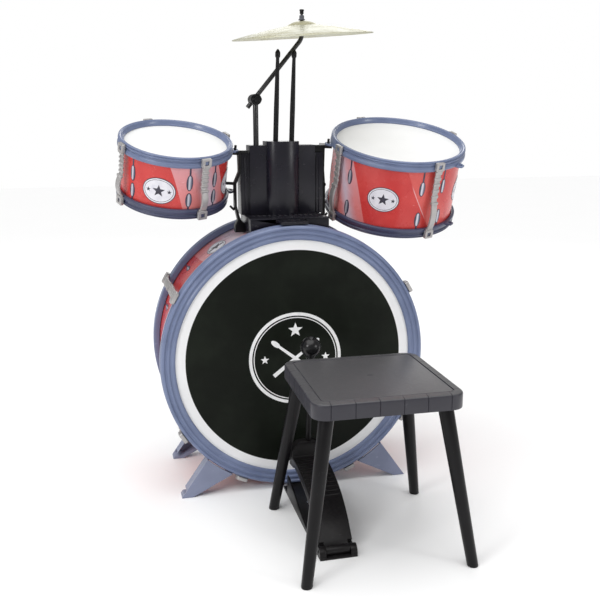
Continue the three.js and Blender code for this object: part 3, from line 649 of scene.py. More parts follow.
@dataclass(frozen=True)
class DrumFilm(Finish):
    """A stretched film, plain or with a dark printed disc inside a white edge ring.

    The wrap map holds turns round the drum and distance from its middle.

    Args:
        disc: Radius of the printed disc in metres, or 0.
        disc_colour: The print's colour.
        disc_edge: Half the width of the disc's soft edge in metres.
    """

    disc: float = 0.0
    disc_colour: Colour = (0.0, 0.0, 0.0)
    disc_edge: float = 0.0004

    def write(self, graph: Graph, shader: Node, place: NodeSocket) -> None:
        """Writes the nodes. See Finish.write."""
        reach = graph.reach()
        cloud = graph.noise(place, 16.0, 4.0, 0.6)
        shaded = tuple(part * 0.93 for part in self.colour)
        tint = graph.mix(graph.smooth(cloud, 0.3, 0.75, (0.0, 0.5)), self.colour, shaded)
        rough = graph.smooth(graph.noise(place, 30.0, 4.0), 0.3, 0.8, (self.roughness, self.roughness + 0.12))
        if self.disc > 0.0:
            inside = graph.smooth(reach, self.disc - self.disc_edge, self.disc + self.disc_edge, (1.0, 0.0))
            lighter = tuple(part * 1.7 + 0.002 for part in self.disc_colour)
            ink = graph.mix(graph.smooth(cloud, 0.35, 0.7), self.disc_colour, lighter)
            tint = graph.mix(inside, tint, ink)
        fine = graph.noise(place, 700.0, 2.0, 0.6)
        slack = graph.noise(place, 9.0, 1.0, 0.3)
        height = graph.plus(graph.times(fine, 0.05), graph.times(slack, 0.95))
        graph.feed(shader.inputs["Base Color"], tint)
        graph.feed(shader.inputs["Roughness"], rough)
        graph.feed(shader.inputs["Normal"], graph.bump(height, 0.0012))
        shader.inputs["Specular IOR Level"].default_value = 0.16


@dataclass(frozen=True)
class TurnedCymbal(Finish):
    """Pale gold sheet with turning grooves, broad tone rings and a darker bell.

    The wrap map holds turns round the cymbal and distance from its middle.

    Args:
        bell: The bell's radius in metres.
        rim: Where the bare rim starts and ends, in metres from the middle.
        groove: Width of a turning groove in metres.
        ring: Width of a broad tone ring in metres.
        brown: What the gold drifts to.
        groove_tone: The bottom of a groove.
        bell_tone: The bell.
        rim_tone: The bare rim.
    """

    bell: float = 0.025
    rim: Point = (0.1085, 0.1105)
    groove: float = 0.0018
    ring: float = 0.017
    brown: Colour = (0.45, 0.43, 0.28)
    groove_tone: Colour = (0.34, 0.32, 0.18)
    bell_tone: Colour = (0.36, 0.33, 0.17)
    rim_tone: Colour = (0.68, 0.67, 0.54)

    def write(self, graph: Graph, shader: Node, place: NodeSocket) -> None:
        """Writes the nodes. See Finish.write."""
        reach = graph.reach()
        groove = graph.math("SINE", graph.times(reach, FULL_TURN / self.groove))
        broad = graph.math("SINE", graph.times(reach, FULL_TURN / self.ring))
        cloud = graph.noise(place, 24.0, 4.0, 0.6)
        tone = graph.plus(graph.times(broad, 0.12), graph.times(cloud, 0.9))
        tint = graph.mix(graph.smooth(tone, 0.25, 0.75), self.colour, self.brown)
        tint = graph.mix(graph.times(graph.plus(groove, 1.0), 0.06), tint, self.groove_tone)
        on_bell = graph.smooth(reach, self.bell - 0.0008, self.bell + 0.0008, (0.5, 0.0))
        tint = graph.mix(on_bell, tint, self.bell_tone)
        rim = graph.smooth(reach, *self.rim, (0.0, 0.35))
        tint = graph.mix(rim, tint, self.rim_tone)
        rough = graph.smooth(cloud, 0.3, 0.75, (self.roughness, self.roughness + 0.15))
        height = graph.plus(graph.times(groove, 0.3), graph.noise(place, 60.0, 2.0))
        graph.feed(shader.inputs["Base Color"], tint)
        graph.feed(shader.inputs["Roughness"], rough)
        graph.feed(shader.inputs["Normal"], graph.bump(height, 0.00005))
        shader.inputs["Metallic"].default_value = 0.35


@dataclass(frozen=True)
class ChromePrint(Finish):
    """The printed picture of a chrome lug: silver with a dark reflection down its middle.

    The wrap map holds the patch's own width and height, 0 to 1.

    Args:
        dark_edge: The silver's dark side.
        shadow: The reflection on its other side.
    """

    dark_edge: Colour = (0.10, 0.10, 0.14)
    shadow: Colour = (0.16, 0.17, 0.24)

    def write(self, graph: Graph, shader: Node, place: NodeSocket) -> None:
        """Writes the nodes. See Finish.write."""
        across = graph.axis(graph.wrap(), "X")
        wave = graph.plus(across, graph.times(graph.noise(place, 180.0, 2.0), 0.12))
        lit = graph.smooth(wave, 0.12, 0.42)
        dark = graph.smooth(wave, 0.58, 0.9)
        tint = graph.mix(lit, self.dark_edge, self.colour)
        tint = graph.mix(dark, tint, self.shadow)
        graph.feed(shader.inputs["Base Color"], tint)
        graph.feed(shader.inputs["Roughness"], graph.smooth(wave, 0.0, 1.0, (self.roughness, 0.35)))
        shader.inputs["Metallic"].default_value = 0.35


@dataclass(frozen=True)
class PlainPrint(Finish):
    """One ink of a printed badge, a little uneven.

    Args:
        ink: The tone it drifts to.
    """

    ink: Colour = (0.8, 0.8, 0.8)

    def write(self, graph: Graph, shader: Node, place: NodeSocket) -> None:
        """Writes the nodes. See Finish.write."""
        cloud = graph.smooth(graph.noise(place, 120.0, 4.0, 0.65), 0.35, 0.75)
        graph.feed(shader.inputs["Base Color"], graph.mix(cloud, self.colour, self.ink))
        rough = graph.smooth(cloud, 0.0, 1.0, (self.roughness, self.roughness + 0.1))
        graph.feed(shader.inputs["Roughness"], rough)
        graph.feed(shader.inputs["Normal"], graph.bump(graph.noise(place, 900.0), 0.00003))


@dataclass(frozen=True)
class PaleFloor(Finish):
    """A plain pale studio floor."""

    def write(self, graph: Graph, shader: Node, place: NodeSocket) -> None:
        """Writes the nodes. See Finish.write."""
        cloud = graph.noise(place, 3.0, 3.0)
        shaded = tuple(part * 0.985 for part in self.colour)
        graph.feed(shader.inputs["Base Color"], graph.mix(cloud, self.colour, shaded))


HOOP_BLUE = MouldedPlastic(
    "hoop_blue_plastic", (0.165, 0.205, 0.335), 0.28, shade=(0.120, 0.150, 0.260),
    grain=700.0, depth=0.00004, wear=0.35, dust=0.04, coat=0.2, specular=0.4,
)
# A darker copy of the hoop blue for the toms' lower hoops: painted shade, as they face down away from the
# light.
HOOP_BLUE_PAINTED_SHADE = MouldedPlastic(
    "hoop_navy_plastic", (0.060, 0.068, 0.130), 0.28, shade=(0.040, 0.046, 0.090),
    grain=700.0, depth=0.00004, wear=0.35, dust=0.04, coat=0.2, specular=0.4,
)
FOOT_BLUE = MouldedPlastic(
    "foot_blue_plastic", (0.215, 0.240, 0.345), 0.36, shade=(0.17, 0.19, 0.28),
    grain=700.0, depth=0.00006, wear=0.35, dust=0.04, coat=0.1, specular=0.4,
)
SILVER = MouldedPlastic(
    "clamp_silver_plastic", (0.46, 0.445, 0.44), 0.34, shade=(0.33, 0.32, 0.32),
    grain=800.0, wear=0.4, dust=0.05, metallic=0.45,
)
TOWER_BLACK = MouldedPlastic(
    "tower_black_plastic", (0.009, 0.0085, 0.0135), 0.24, shade=(0.013, 0.012, 0.019),
    grain=1300.0, specular=0.32,
)
PART_BLACK = MouldedPlastic(
    "fitting_black_plastic", (0.005, 0.005, 0.0055), 0.36, shade=(0.008, 0.008, 0.009),
    grain=1200.0, depth=0.00012, specular=0.2,
)
STICK_BLACK = MouldedPlastic(
    "stick_black_plastic", (0.005, 0.005, 0.0055), 0.3, shade=(0.009, 0.009, 0.010),
    grain=500.0, depth=0.00008, wear=0.4, specular=0.22,
)
PEDAL_BLACK = MouldedPlastic(
    "pedal_black_plastic", (0.0045, 0.0038, 0.0042), 0.36, shade=(0.009, 0.0078, 0.0086),
    grain=1100.0, depth=0.00016, wear=0.4, dust=0.02, specular=0.25,
)
BEATER_BLACK = MouldedPlastic(
    "beater_black_plastic", (0.004, 0.004, 0.0045), 0.22, shade=(0.007, 0.007, 0.008),
    grain=500.0, depth=0.00006, dust=0.02, specular=0.4,
)
# The seat's lighter top colour is a painted highlight of the light from above, on its upward faces.
SEAT_GREY = MouldedPlastic(
    "seat_grey_plastic", (0.030, 0.029, 0.038), 0.36, shade=(0.023, 0.022, 0.031),
    grain=1500.0, wear=0.25, dust=0.04, specular=0.45, top=(0.078, 0.077, 0.081),
)
LEG_BLACK = MouldedPlastic(
    "leg_black_plastic", (0.0050, 0.0045, 0.0052), 0.3, shade=(0.008, 0.0075, 0.0085),
    dust=0.02, specular=0.2,
)
SLEEVE_GREY = MouldedPlastic(
    "sleeve_grey_plastic", (0.10, 0.105, 0.13), 0.4, shade=(0.07, 0.075, 0.09),
    dust=0.05,
)
RUBBER_BLACK = MouldedPlastic(
    "washer_black_rubber", (0.010, 0.010, 0.010), 0.75, shade=(0.02, 0.02, 0.02),
    grain=1600.0, depth=0.0003, wear=0.1, dust=0.1, specular=0.3,
)
INNER_GREY = MouldedPlastic(
    "shell_inner_plastic", (0.55, 0.54, 0.53), 0.5, shade=(0.46, 0.45, 0.45),
    depth=0.00012, wear=0.2, dust=0.05,
)
BLACK_TUBE = DrawnMetal("stand_black_lacquer", (0.006, 0.006, 0.0065), 0.28, metallic=0.0, coat=0.25)
BRIGHT_STEEL = DrawnMetal("bright_steel_wire", (0.62, 0.62, 0.64), 0.25)
WHITE_FILM = DrumFilm("white_drum_film", (0.88, 0.88, 0.87), 0.42)
FRONT_FILM = DrumFilm(
    "front_drum_film", (0.86, 0.86, 0.87), 0.42, disc=0.172, disc_colour=(0.0024, 0.0040, 0.0018),
)
CYMBAL_GOLD = TurnedCymbal("cymbal_pale_gold", (0.52, 0.52, 0.42), 0.36)
LUG_CHROME = ChromePrint("printed_lug_chrome", (0.62, 0.62, 0.70), 0.25)
LUG_EDGE = PlainPrint("printed_lug_edge", (0.03, 0.03, 0.06), 0.35, ink=(0.07, 0.07, 0.12))
BADGE_WHITE = PlainPrint("printed_badge_white", (0.80, 0.79, 0.84), 0.3, ink=(0.70, 0.69, 0.76))
BADGE_DARK = PlainPrint("printed_badge_dark", (0.02, 0.018, 0.035), 0.35, ink=(0.05, 0.045, 0.07))
EMBLEM_WHITE = PlainPrint("printed_emblem_white", (0.86, 0.86, 0.86), 0.35, ink=(0.76, 0.76, 0.77))


# ---------- Mesh making, in millimetres ----------

Form = bmesh.types.BMesh
Edge = bmesh.types.BMEdge
Face = bmesh.types.BMFace
MERGE_REACH = 0.002  # corners nearer than this are one
CUT_REACH = 0.0005  # corners nearer to a cut than this lie on it
STRIP = 2.5  # widest strip of a bent patch that is left flat


def tidied(form: Form) -> Form:
    """Merges doubles and turns every face outwards.

    Args:
        form: The form, which is changed.

    Returns:
        The same form.
    """
    bmesh.ops.remove_doubles(form, verts=form.verts[:], dist=MERGE_REACH)
    bmesh.ops.recalc_face_normals(form, faces=form.faces[:])
    return form


def flat(outline: Iterable[Point]) -> Form:
    """Makes one flat face at height 0 from its outline."""
    form = bmesh.new()
    form.faces.new([form.verts.new((x, y, 0.0)) for x, y in outline])
    form.normal_update()
    return form


def oval(width: float, height: float, sides: int = 28) -> list[Point]:
    """Gives the outline of an oval round the origin."""
    turns = [FULL_TURN * index / sides for index in range(sides)]
    return [(width / 2 * math.cos(turn), height / 2 * math.sin(turn)) for turn in turns]


def rectangle(width: float, height: float) -> list[Point]:
    """Gives the outline of a rectangle round the origin."""
    x, y = width / 2, height / 2
    return [(-x, -y), (x, -y), (x, y), (-x, y)]


def star(radius: float) -> list[Point]:
    """Gives the outline of a five-pointed star with one point up."""
    corners = []
    for index in range(10):
        reach = radius if index % 2 == 0 else radius * 0.42
        turn = FULL_TURN * (0.25 + index / 10)
        corners.append((reach * math.cos(turn), reach * math.sin(turn)))
    return corners


def ringed(form: Form, width: float) -> Form:
    """Turns a flat face into a ring.

    Args:
        form: One flat face, which is changed.
        width: The ring's width.

    Returns:
        The same form.
    """
    middle = form.faces[:]
    bmesh.ops.inset_individual(form, faces=middle, thickness=width, use_even_offset=True)
    bmesh.ops.delete(form, geom=middle, context="FACES_ONLY")
    return form


def thickened(form: Form, low: float, high: float) -> Form:
    """Extrudes flat faces into a solid between two heights.

    Args:
        form: Flat faces at height 0, which are changed.
        low: The solid's underside.
        high: Its upper side.

    Returns:
        The same form.
    """
    made = bmesh.ops.extrude_face_region(form, geom=form.faces[:], use_keep_orig=True)
    raised = [item for item in made["geom"] if isinstance(item, bmesh.types.BMVert)]
    bmesh.ops.translate(form, verts=raised, vec=(0.0, 0.0, high - low))
    bmesh.ops.translate(form, verts=form.verts[:], vec=(0.0, 0.0, low))
    return tidied(form)


def slab(outline: Iterable[Point], low: float, high: float) -> Form:
    """Makes a solid of one outline between two heights."""
    return thickened(flat(outline), low, high)


def spun(profile: Sequence[Point], steps: int = 96, closed: bool = True) -> Form:
    """Turns a profile round the Z axis.

    Args:
        profile: Its corners as (radius, height).
        steps: How many faces go round.
        closed: Whether the profile's last corner joins its first; otherwise both lie on the axis.

    Returns:
        The turned form.
    """
    form = bmesh.new()
    corners = [form.verts.new((radius, 0.0, height)) for radius, height in profile]
    ends = corners[1:] + corners[:1] if closed else corners[1:]
    edges = [form.edges.new(pair) for pair in zip(corners, ends)]
    bmesh.ops.spin(
        form, geom=[*corners, *edges], cent=(0.0, 0.0, 0.0), axis=(0.0, 0.0, 1.0),
        angle=FULL_TURN, steps=steps, use_merge=True,
    )
    return tidied(form)


def rounded(form: Form, width: float, segments: int = 2, angle: float = 30.0,
            only: Callable[[Edge], bool] | None = None) -> Form:
    """Rounds a form's sharp edges.

    Args:
        form: The form, which is changed.
        width: The width of the rounding.
        segments: How many faces make it.
        angle: Edges that turn by more than this many degrees are sharp.
        only: Tells which of the sharp edges to take.

    Returns:
        The same form.
    """
    limit = math.radians(angle)
    edges = [
        edge for edge in form.edges
        if len(edge.link_faces) == 2 and edge.calc_face_angle() > limit and (only is None or only(edge))
    ]
    bmesh.ops.bevel(
        form, geom=edges, offset=width, offset_type="OFFSET", segments=segments, profile=0.5,
        affect="EDGES", clamp_overlap=True, material=-1,
    )
    return form


def moved(form: Form, matrix: Matrix) -> Form:
    """Moves a form by a matrix."""
    bmesh.ops.transform(form, matrix=matrix, verts=form.verts[:])
    return form


def shifted(form: Form, x: float = 0.0, y: float = 0.0, z: float = 0.0) -> Form:
    """Moves a form along the axes."""
    return moved(form, Matrix.Translation((x, y, z)))


def sliced(form: Form, point: Sequence[float], normal: Sequence[float], below: bool = False,
           above: bool = False) -> list[Edge]:
    """Cuts a form along a plane.

    Args:
        form: The form, which is changed.
        point: A point on the plane.
        normal: The plane's normal.
        below: Whether what lies behind the plane goes.
        above: Whether what lies before it goes.

    Returns:
        The edges on the plane.
    """
    cut = bmesh.ops.bisect_plane(
        form, geom=[*form.verts, *form.edges, *form.faces], dist=CUT_REACH, plane_co=point, plane_no=normal,
        clear_inner=below, clear_outer=above,
    )
    return [item for item in cut["geom_cut"] if isinstance(item, Edge)]


def joined(first: Form, *others: Form) -> Form:
    """Adds forms to the first.

    Args:
        first: The form that the others are added to.
        others: The forms to add, which are freed.

    Returns:
        The first form.
    """
    for other in others:
        mesh = bpy.data.meshes.new("part")
        other.to_mesh(mesh)
        other.free()
        first.from_mesh(mesh)
        bpy.data.meshes.remove(mesh)
    return first


def painted(form: Form, index: int, where: Callable[[Face], bool] = lambda face: True) -> Form:
    """Gives faces one of the piece's finishes.

    Args:
        form: The form, which is changed.
        index: Which finish.
        where: Tells which faces take it.

    Returns:
        The same form.
    """
    for face in form.faces:
        if where(face):
            face.material_index = index
    return form


def wrapped(form: Form, across: Callable[[Vector], float]) -> Form:
    """Writes the wrap map: turns round the Z axis, and a second value.

    Args:
        form: The form, which is changed.
        across: Gives the second value from a corner's place.

    Returns:
        The same form.
    """
    layer = form.loops.layers.uv.new(WRAP_MAP)
    for face in form.faces:
        centre = face.calc_center_median()
        middle = math.atan2(centre.y, centre.x)
        for loop in face.loops:
            place = loop.vert.co
            turn = math.atan2(place.y, place.x) if place.xy.length > 0.01 else middle
            turn = middle + (turn - middle + math.pi) % FULL_TURN - math.pi
            loop[layer].uv = (turn / FULL_TURN, across(place))
    return form


def patch(outline: Iterable[Point], low: float, high: float, ring: float = 0.0) -> Form:
    """Makes a thin printed patch, with a wrap map over its own width and height.

    Args:
        outline: The patch's outline.
        low: How far its underside stands off.
        high: How far its upper side stands off.
        ring: The width of the ring to make of it, or 0 for a whole patch.

    Returns:
        The patch.
    """
    form = flat(outline)
    if ring:
        ringed(form, ring)
    thickened(form, low, high)
    layer = form.loops.layers.uv.new(WRAP_MAP)
    reach_x = max(abs(vert.co.x) for vert in form.verts)
    reach_y = max(abs(vert.co.y) for vert in form.verts)
    for face in form.faces:
        for loop in face.loops:
            x, y, _ = loop.vert.co
            loop[layer].uv = (0.5 + 0.5 * x / reach_x, 0.5 + 0.5 * y / reach_y)
    return form


def bent_round(form: Form, radius: float, angle: float, height: float) -> Form:
    """Bends a flat patch round a drum.

    Args:
        form: The patch, which is changed: x goes round, y up, and z out.
        radius: The drum's radius.
        angle: Where the patch's origin goes, in degrees.
        height: How high its origin goes.

    Returns:
        The same form.
    """
    reach = max(abs(vert.co.x) for vert in form.verts)
    count = int(reach / STRIP)
    for index in range(-count, count + 1):
        sliced(form, (index * STRIP, 0.0, 0.0), (1.0, 0.0, 0.0))
    for vert in form.verts:
        x, y, z = vert.co
        turn = math.radians(angle) + x / radius
        vert.co = ((radius + z) * math.cos(turn), (radius + z) * math.sin(turn), height + y)
    return form


def rod(path: Sequence[Vector], radius: float, sides: int) -> Form:
    """Makes a round rod along a path.

    Args:
        path: The points it goes through.
        radius: Its radius.
        sides: How finely it is rounded: the curve's bevel resolution.

    Returns:
        The rod.
    """
    curve = bpy.data.curves.new("path", "CURVE")
    curve.dimensions = "3D"
    curve.bevel_depth = radius
    curve.bevel_resolution = sides
    curve.use_fill_caps = True
    spline = curve.splines.new("POLY")
    spline.points.add(len(path) - 1)
    for point, place in zip(spline.points, path):
        point.co = (*place, 1.0)
    holder = bpy.data.objects.new("path", curve)
    form = bmesh.new()
    mesh = holder.to_mesh()
    form.from_mesh(mesh)
    holder.to_mesh_clear()
    bpy.data.objects.remove(holder)
    bpy.data.curves.remove(curve)
    return tidied(form)


def cone(start: Vector, end: Vector, start_radius: float, end_radius: float, sides: int) -> Form:
    """Makes a closed cone between two points.

    Args:
        start: The middle of its first end.
        end: The middle of its second end.
        start_radius: The radius of its first end.
        end_radius: The radius of its second end.
        sides: How many faces go round.

    Returns:
        The cone.
    """
    form = bmesh.new()
    along = end - start
    bmesh.ops.create_cone(
        form, cap_ends=True, segments=sides, radius1=start_radius, radius2=end_radius, depth=along.length,
    )
    return moved(form, Matrix.Translation((start + end) / 2) @ aimed(along))


def aimed(up: Vector) -> Matrix:
    """Gives the rotation that takes the Z axis to a direction."""
    return UPRIGHT.rotation_difference(up).to_matrix().to_4x4()


def swung(angle: float) -> Matrix:
    """Gives a rotation round the Z axis by an angle in degrees."""
    return Matrix.Rotation(math.radians(angle), 4, "Z")


OUTWARDS = Matrix(((0, 0, 1, 0), (1, 0, 0, 0), (0, 1, 0, 0), (0, 0, 0, 1)))  # x, y, z to along Y, Z, X
SIDEWAYS = Matrix.Rotation(math.radians(90.0), 4, "X")  # x, y, z to along X, Z, -Y


# ---------- Placing ----------


@dataclass
class Workshop:
    """Args:
        nodes: The frame's CAD nodes by name.
        origin: Where the forms' own origin lies, in metres.
    """

    nodes: dict[str, Object]
    origin: Vector

    def place(self, form: Form, name: str, finishes: Sequence[Finish], slot: str, body: str = "kit",
              stands_for: Sequence[str] = (), frame: Matrix | None = None, sharp: float = 38.0) -> Object:
        """Makes a piece of a form.

        Args:
            form: The form in millimetres, which is freed.
            name: The piece's name.
            finishes: Its finishes, in the order of its faces' material numbers.
            slot: The record's material slot for it; not used.
            body: The body that it rides on.
            stands_for: The CAD nodes that it replaces.
            frame: Where the form goes.
            sharp: Edges that turn by more than this many degrees stay crisp.

        Returns:
            The piece.
        """
        if frame is not None:
            moved(form, frame)
        moved(form, Matrix.Translation(self.origin) @ Matrix.Scale(MM, 4))
        return self.finish(form, name, finishes, slot, body, stands_for, sharp)

    def soften(self, node: str, width: float, finish: Finish, slot: str, body: str = "kit", segments: int = 2,
               angle: float = 35.0, only: Callable[[Edge], bool] | None = None) -> Object:
        """Makes a piece of a CAD node with its sharp edges rounded.

        Args:
            node: The node.
            width: The width of the rounding in millimetres.
            finish: The piece's finish.
            slot: The record's material slot for it; not used.
            body: The body that it rides on.
            segments: How many faces make the rounding.
            angle: Edges that turn by more than this many degrees are rounded.
            only: Tells which of these edges to take, in metres in the frame.

        Returns:
            The piece.
        """
        form = bmesh.new()
        form.from_mesh(self.nodes[node].data)
        bmesh.ops.remove_doubles(form, verts=form.verts[:], dist=MERGE_REACH * MM)
        bmesh.ops.dissolve_limit(
            form, angle_limit=math.radians(0.6), verts=form.verts[:], edges=form.edges[:],
        )
        rounded(form, width * MM, segments, angle, only)
        return self.finish(form, f"{node}_finished", [finish], slot, body, [node], 32.0)

    def finish(self, form: Form, name: str, finishes: Sequence[Finish], slot: str, body: str,
               stands_for: Sequence[str], sharp: float) -> Object:
        """Makes a piece of a form that is in metres and in place. See place for the arguments."""
        mesh = bpy.data.meshes.new(name)
        form.to_mesh(mesh)
        form.free()
        for finish in finishes:
            mesh.materials.append(finish.material())
        mesh.shade_smooth()
        mesh.set_sharp_from_angle(angle=math.radians(sharp))
        piece = bpy.data.objects.new(name, mesh)
        bpy.context.scene.collection.objects.link(piece)
        if stands_for:
            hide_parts(*stands_for)
        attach(piece, body)
        LOG.info("%s: %d faces, rides on %s", name, len(mesh.polygons), body)
        return piece


# ---------- Drums ----------


@dataclass(frozen=True)
class StrapClamp:
    """An over-centre strap clamp: windowed caps, a ribbed strap and a bowed lever.

    Args:
        cap_width: A cap's width.
        cap_height: Its height.
        cap_thickness: Its thickness.
        strap_width: The strap's width.
        strap_thickness: Its thickness.
        bulge: How far the lever bows out.
        peg: Width of the hoop's peg in a cap's window.
        caps: How the caps' corners are finished.
        rib_count: How many ribs cross the strap.
        lever_share: The lever's share of the strap's length.
    """

    cap_width: float
    cap_height: float
    cap_thickness: float
    strap_width: float
    strap_thickness: float
    bulge: float
    peg: float
    caps: CapShape
    rib_count: int = 5
    lever_share: float = 0.52

    def form(self, radius: float, depth: float, peg_height: float) -> Form:
        """Makes the clamp at angle 0 of a drum.

        Args:
            radius: Outside of the drum's hoops.
            depth: The drum's depth.
            peg_height: How far the pegs lie inside the drum's ends.

        Returns:
            The clamp.
        """
        inside = radius + CLEAR
        window = self.peg + 2 * CLEAR
        parts = []
        for height in (-peg_height, -depth + peg_height):
            cap = flat(rectangle(self.cap_width, self.cap_height))
            middle = cap.faces[:]
            border = (self.cap_height - window) / 2
            bmesh.ops.inset_individual(cap, faces=middle, thickness=border, use_even_offset=True)
            inner_width = self.cap_width - 2 * border
            bmesh.ops.scale(cap, verts=middle[0].verts[:], vec=(window / inner_width, 1.0, 1.0))
            bmesh.ops.delete(cap, geom=middle, context="FACES_ONLY")
            thickened(cap, inside, inside + self.cap_thickness)
            rounded(cap, self.caps.value, 3, 60.0, self._at_cap_corner)
            rounded(cap, 0.7)
            lip = slab(rectangle(self.cap_width * 0.72, 1.6), inside + 0.5, inside + self.cap_thickness + 0.6)
            side = 1 if height > -depth / 2 else -1
            shifted(rounded(lip, 0.4), y=-side * (self.cap_height / 2 + 0.4))
            parts.append(shifted(moved(joined(cap, lip), OUTWARDS), z=height))
        parts.append(self._strap(radius, depth, peg_height))
        return joined(*parts)

    def _at_cap_corner(self, edge: Edge) -> bool:
        """Tells whether an edge is an upright one at a cap's outer corner."""
        first, second = (vert.co for vert in edge.verts)
        outer = self.cap_width * 0.4
        return abs(first.x) > outer and abs(second.x) > outer and abs(first.z - second.z) > 1

    def _strap(self, radius: float, depth: float, peg_height: float) -> Form:
        """Makes the strap, its ribs and its lever. See form for the arguments."""
        inside = radius + CLEAR
        top = -peg_height - self.cap_height / 2 + 1
        bottom = -depth + peg_height + self.cap_height / 2 - 1
        lever_top = bottom + (top - bottom) * self.lever_share
        outside = inside + self.strap_thickness
        side = [(inside, bottom), (outside, bottom)]
        inner = []
        steps = 14
        for step in range(1, steps):
            share = step / steps
            bow = self.bulge * math.sin(math.pi * share) ** 0.8
            height = bottom + (lever_top - bottom) * share
            side.append((outside + bow, height))
            inner.append((inside + bow * 0.75, height))
        side += [(outside, lever_top), (outside, top), (inside, top), *reversed(inner)]
        half = self.strap_width / 2
        strap = rounded(moved(slab(side, -half, half), SIDEWAYS), 0.6, 2, 40.0)
        pitch = (top - lever_top) / self.rib_count
        parts = [
            self._bar(1.6, pitch * 0.5, (inside + 0.4, outside + 1.1), 0.6, lever_top + pitch * (index + 0.5))
            for index in range(self.rib_count)
        ]
        catch_height = lever_top - (lever_top - bottom) * 0.1
        parts.append(self._bar(2.4, 4.2, (outside - 1.0, outside + self.bulge * 0.62), 0.9, catch_height))
        parts.append(self._bar(2.0, 3.6, (inside + 0.3, outside + 1.6), 0.9, bottom + 2.5))
        return joined(strap, *parts)

    def _bar(self, extra: float, tall: float, span: Point, rounding: float, height: float) -> Form:
        """Makes a bar across the strap.

        Args:
            extra: How much wider it is than the strap.
            tall: Its size along the strap.
            span: Distance of its inside and outside from the drum's axis.
            rounding: Rounding of its edges.
            height: The height of its middle.

        Returns:
            The bar.
        """
        bar = moved(slab(rectangle(self.strap_width + extra, tall), *span), OUTWARDS)
        return shifted(rounded(bar, rounding), z=height)


TOM_CLAMP = StrapClamp(15.0, 13.0, 5.0, 10.5, 2.5, 6.0, 6.0, CapShape.SQUARE)
BASS_CLAMP = StrapClamp(19.0, 17.0, 6.0, 12.0, 3.0, 5.0, 7.0, CapShape.ROUND)


@dataclass(frozen=True)
class LugPrint:
    """A printed lug: an oval with a stem towards the near hoop.

    Args:
        angle: Where it is, in degrees.
        high: The oval's upper end, in height from the rim.
        low: Its lower end.
        up: Whether the stem goes up.
        width: The oval's width.
    """

    angle: float
    high: float
    low: float
    up: bool
    width: float = 10.0


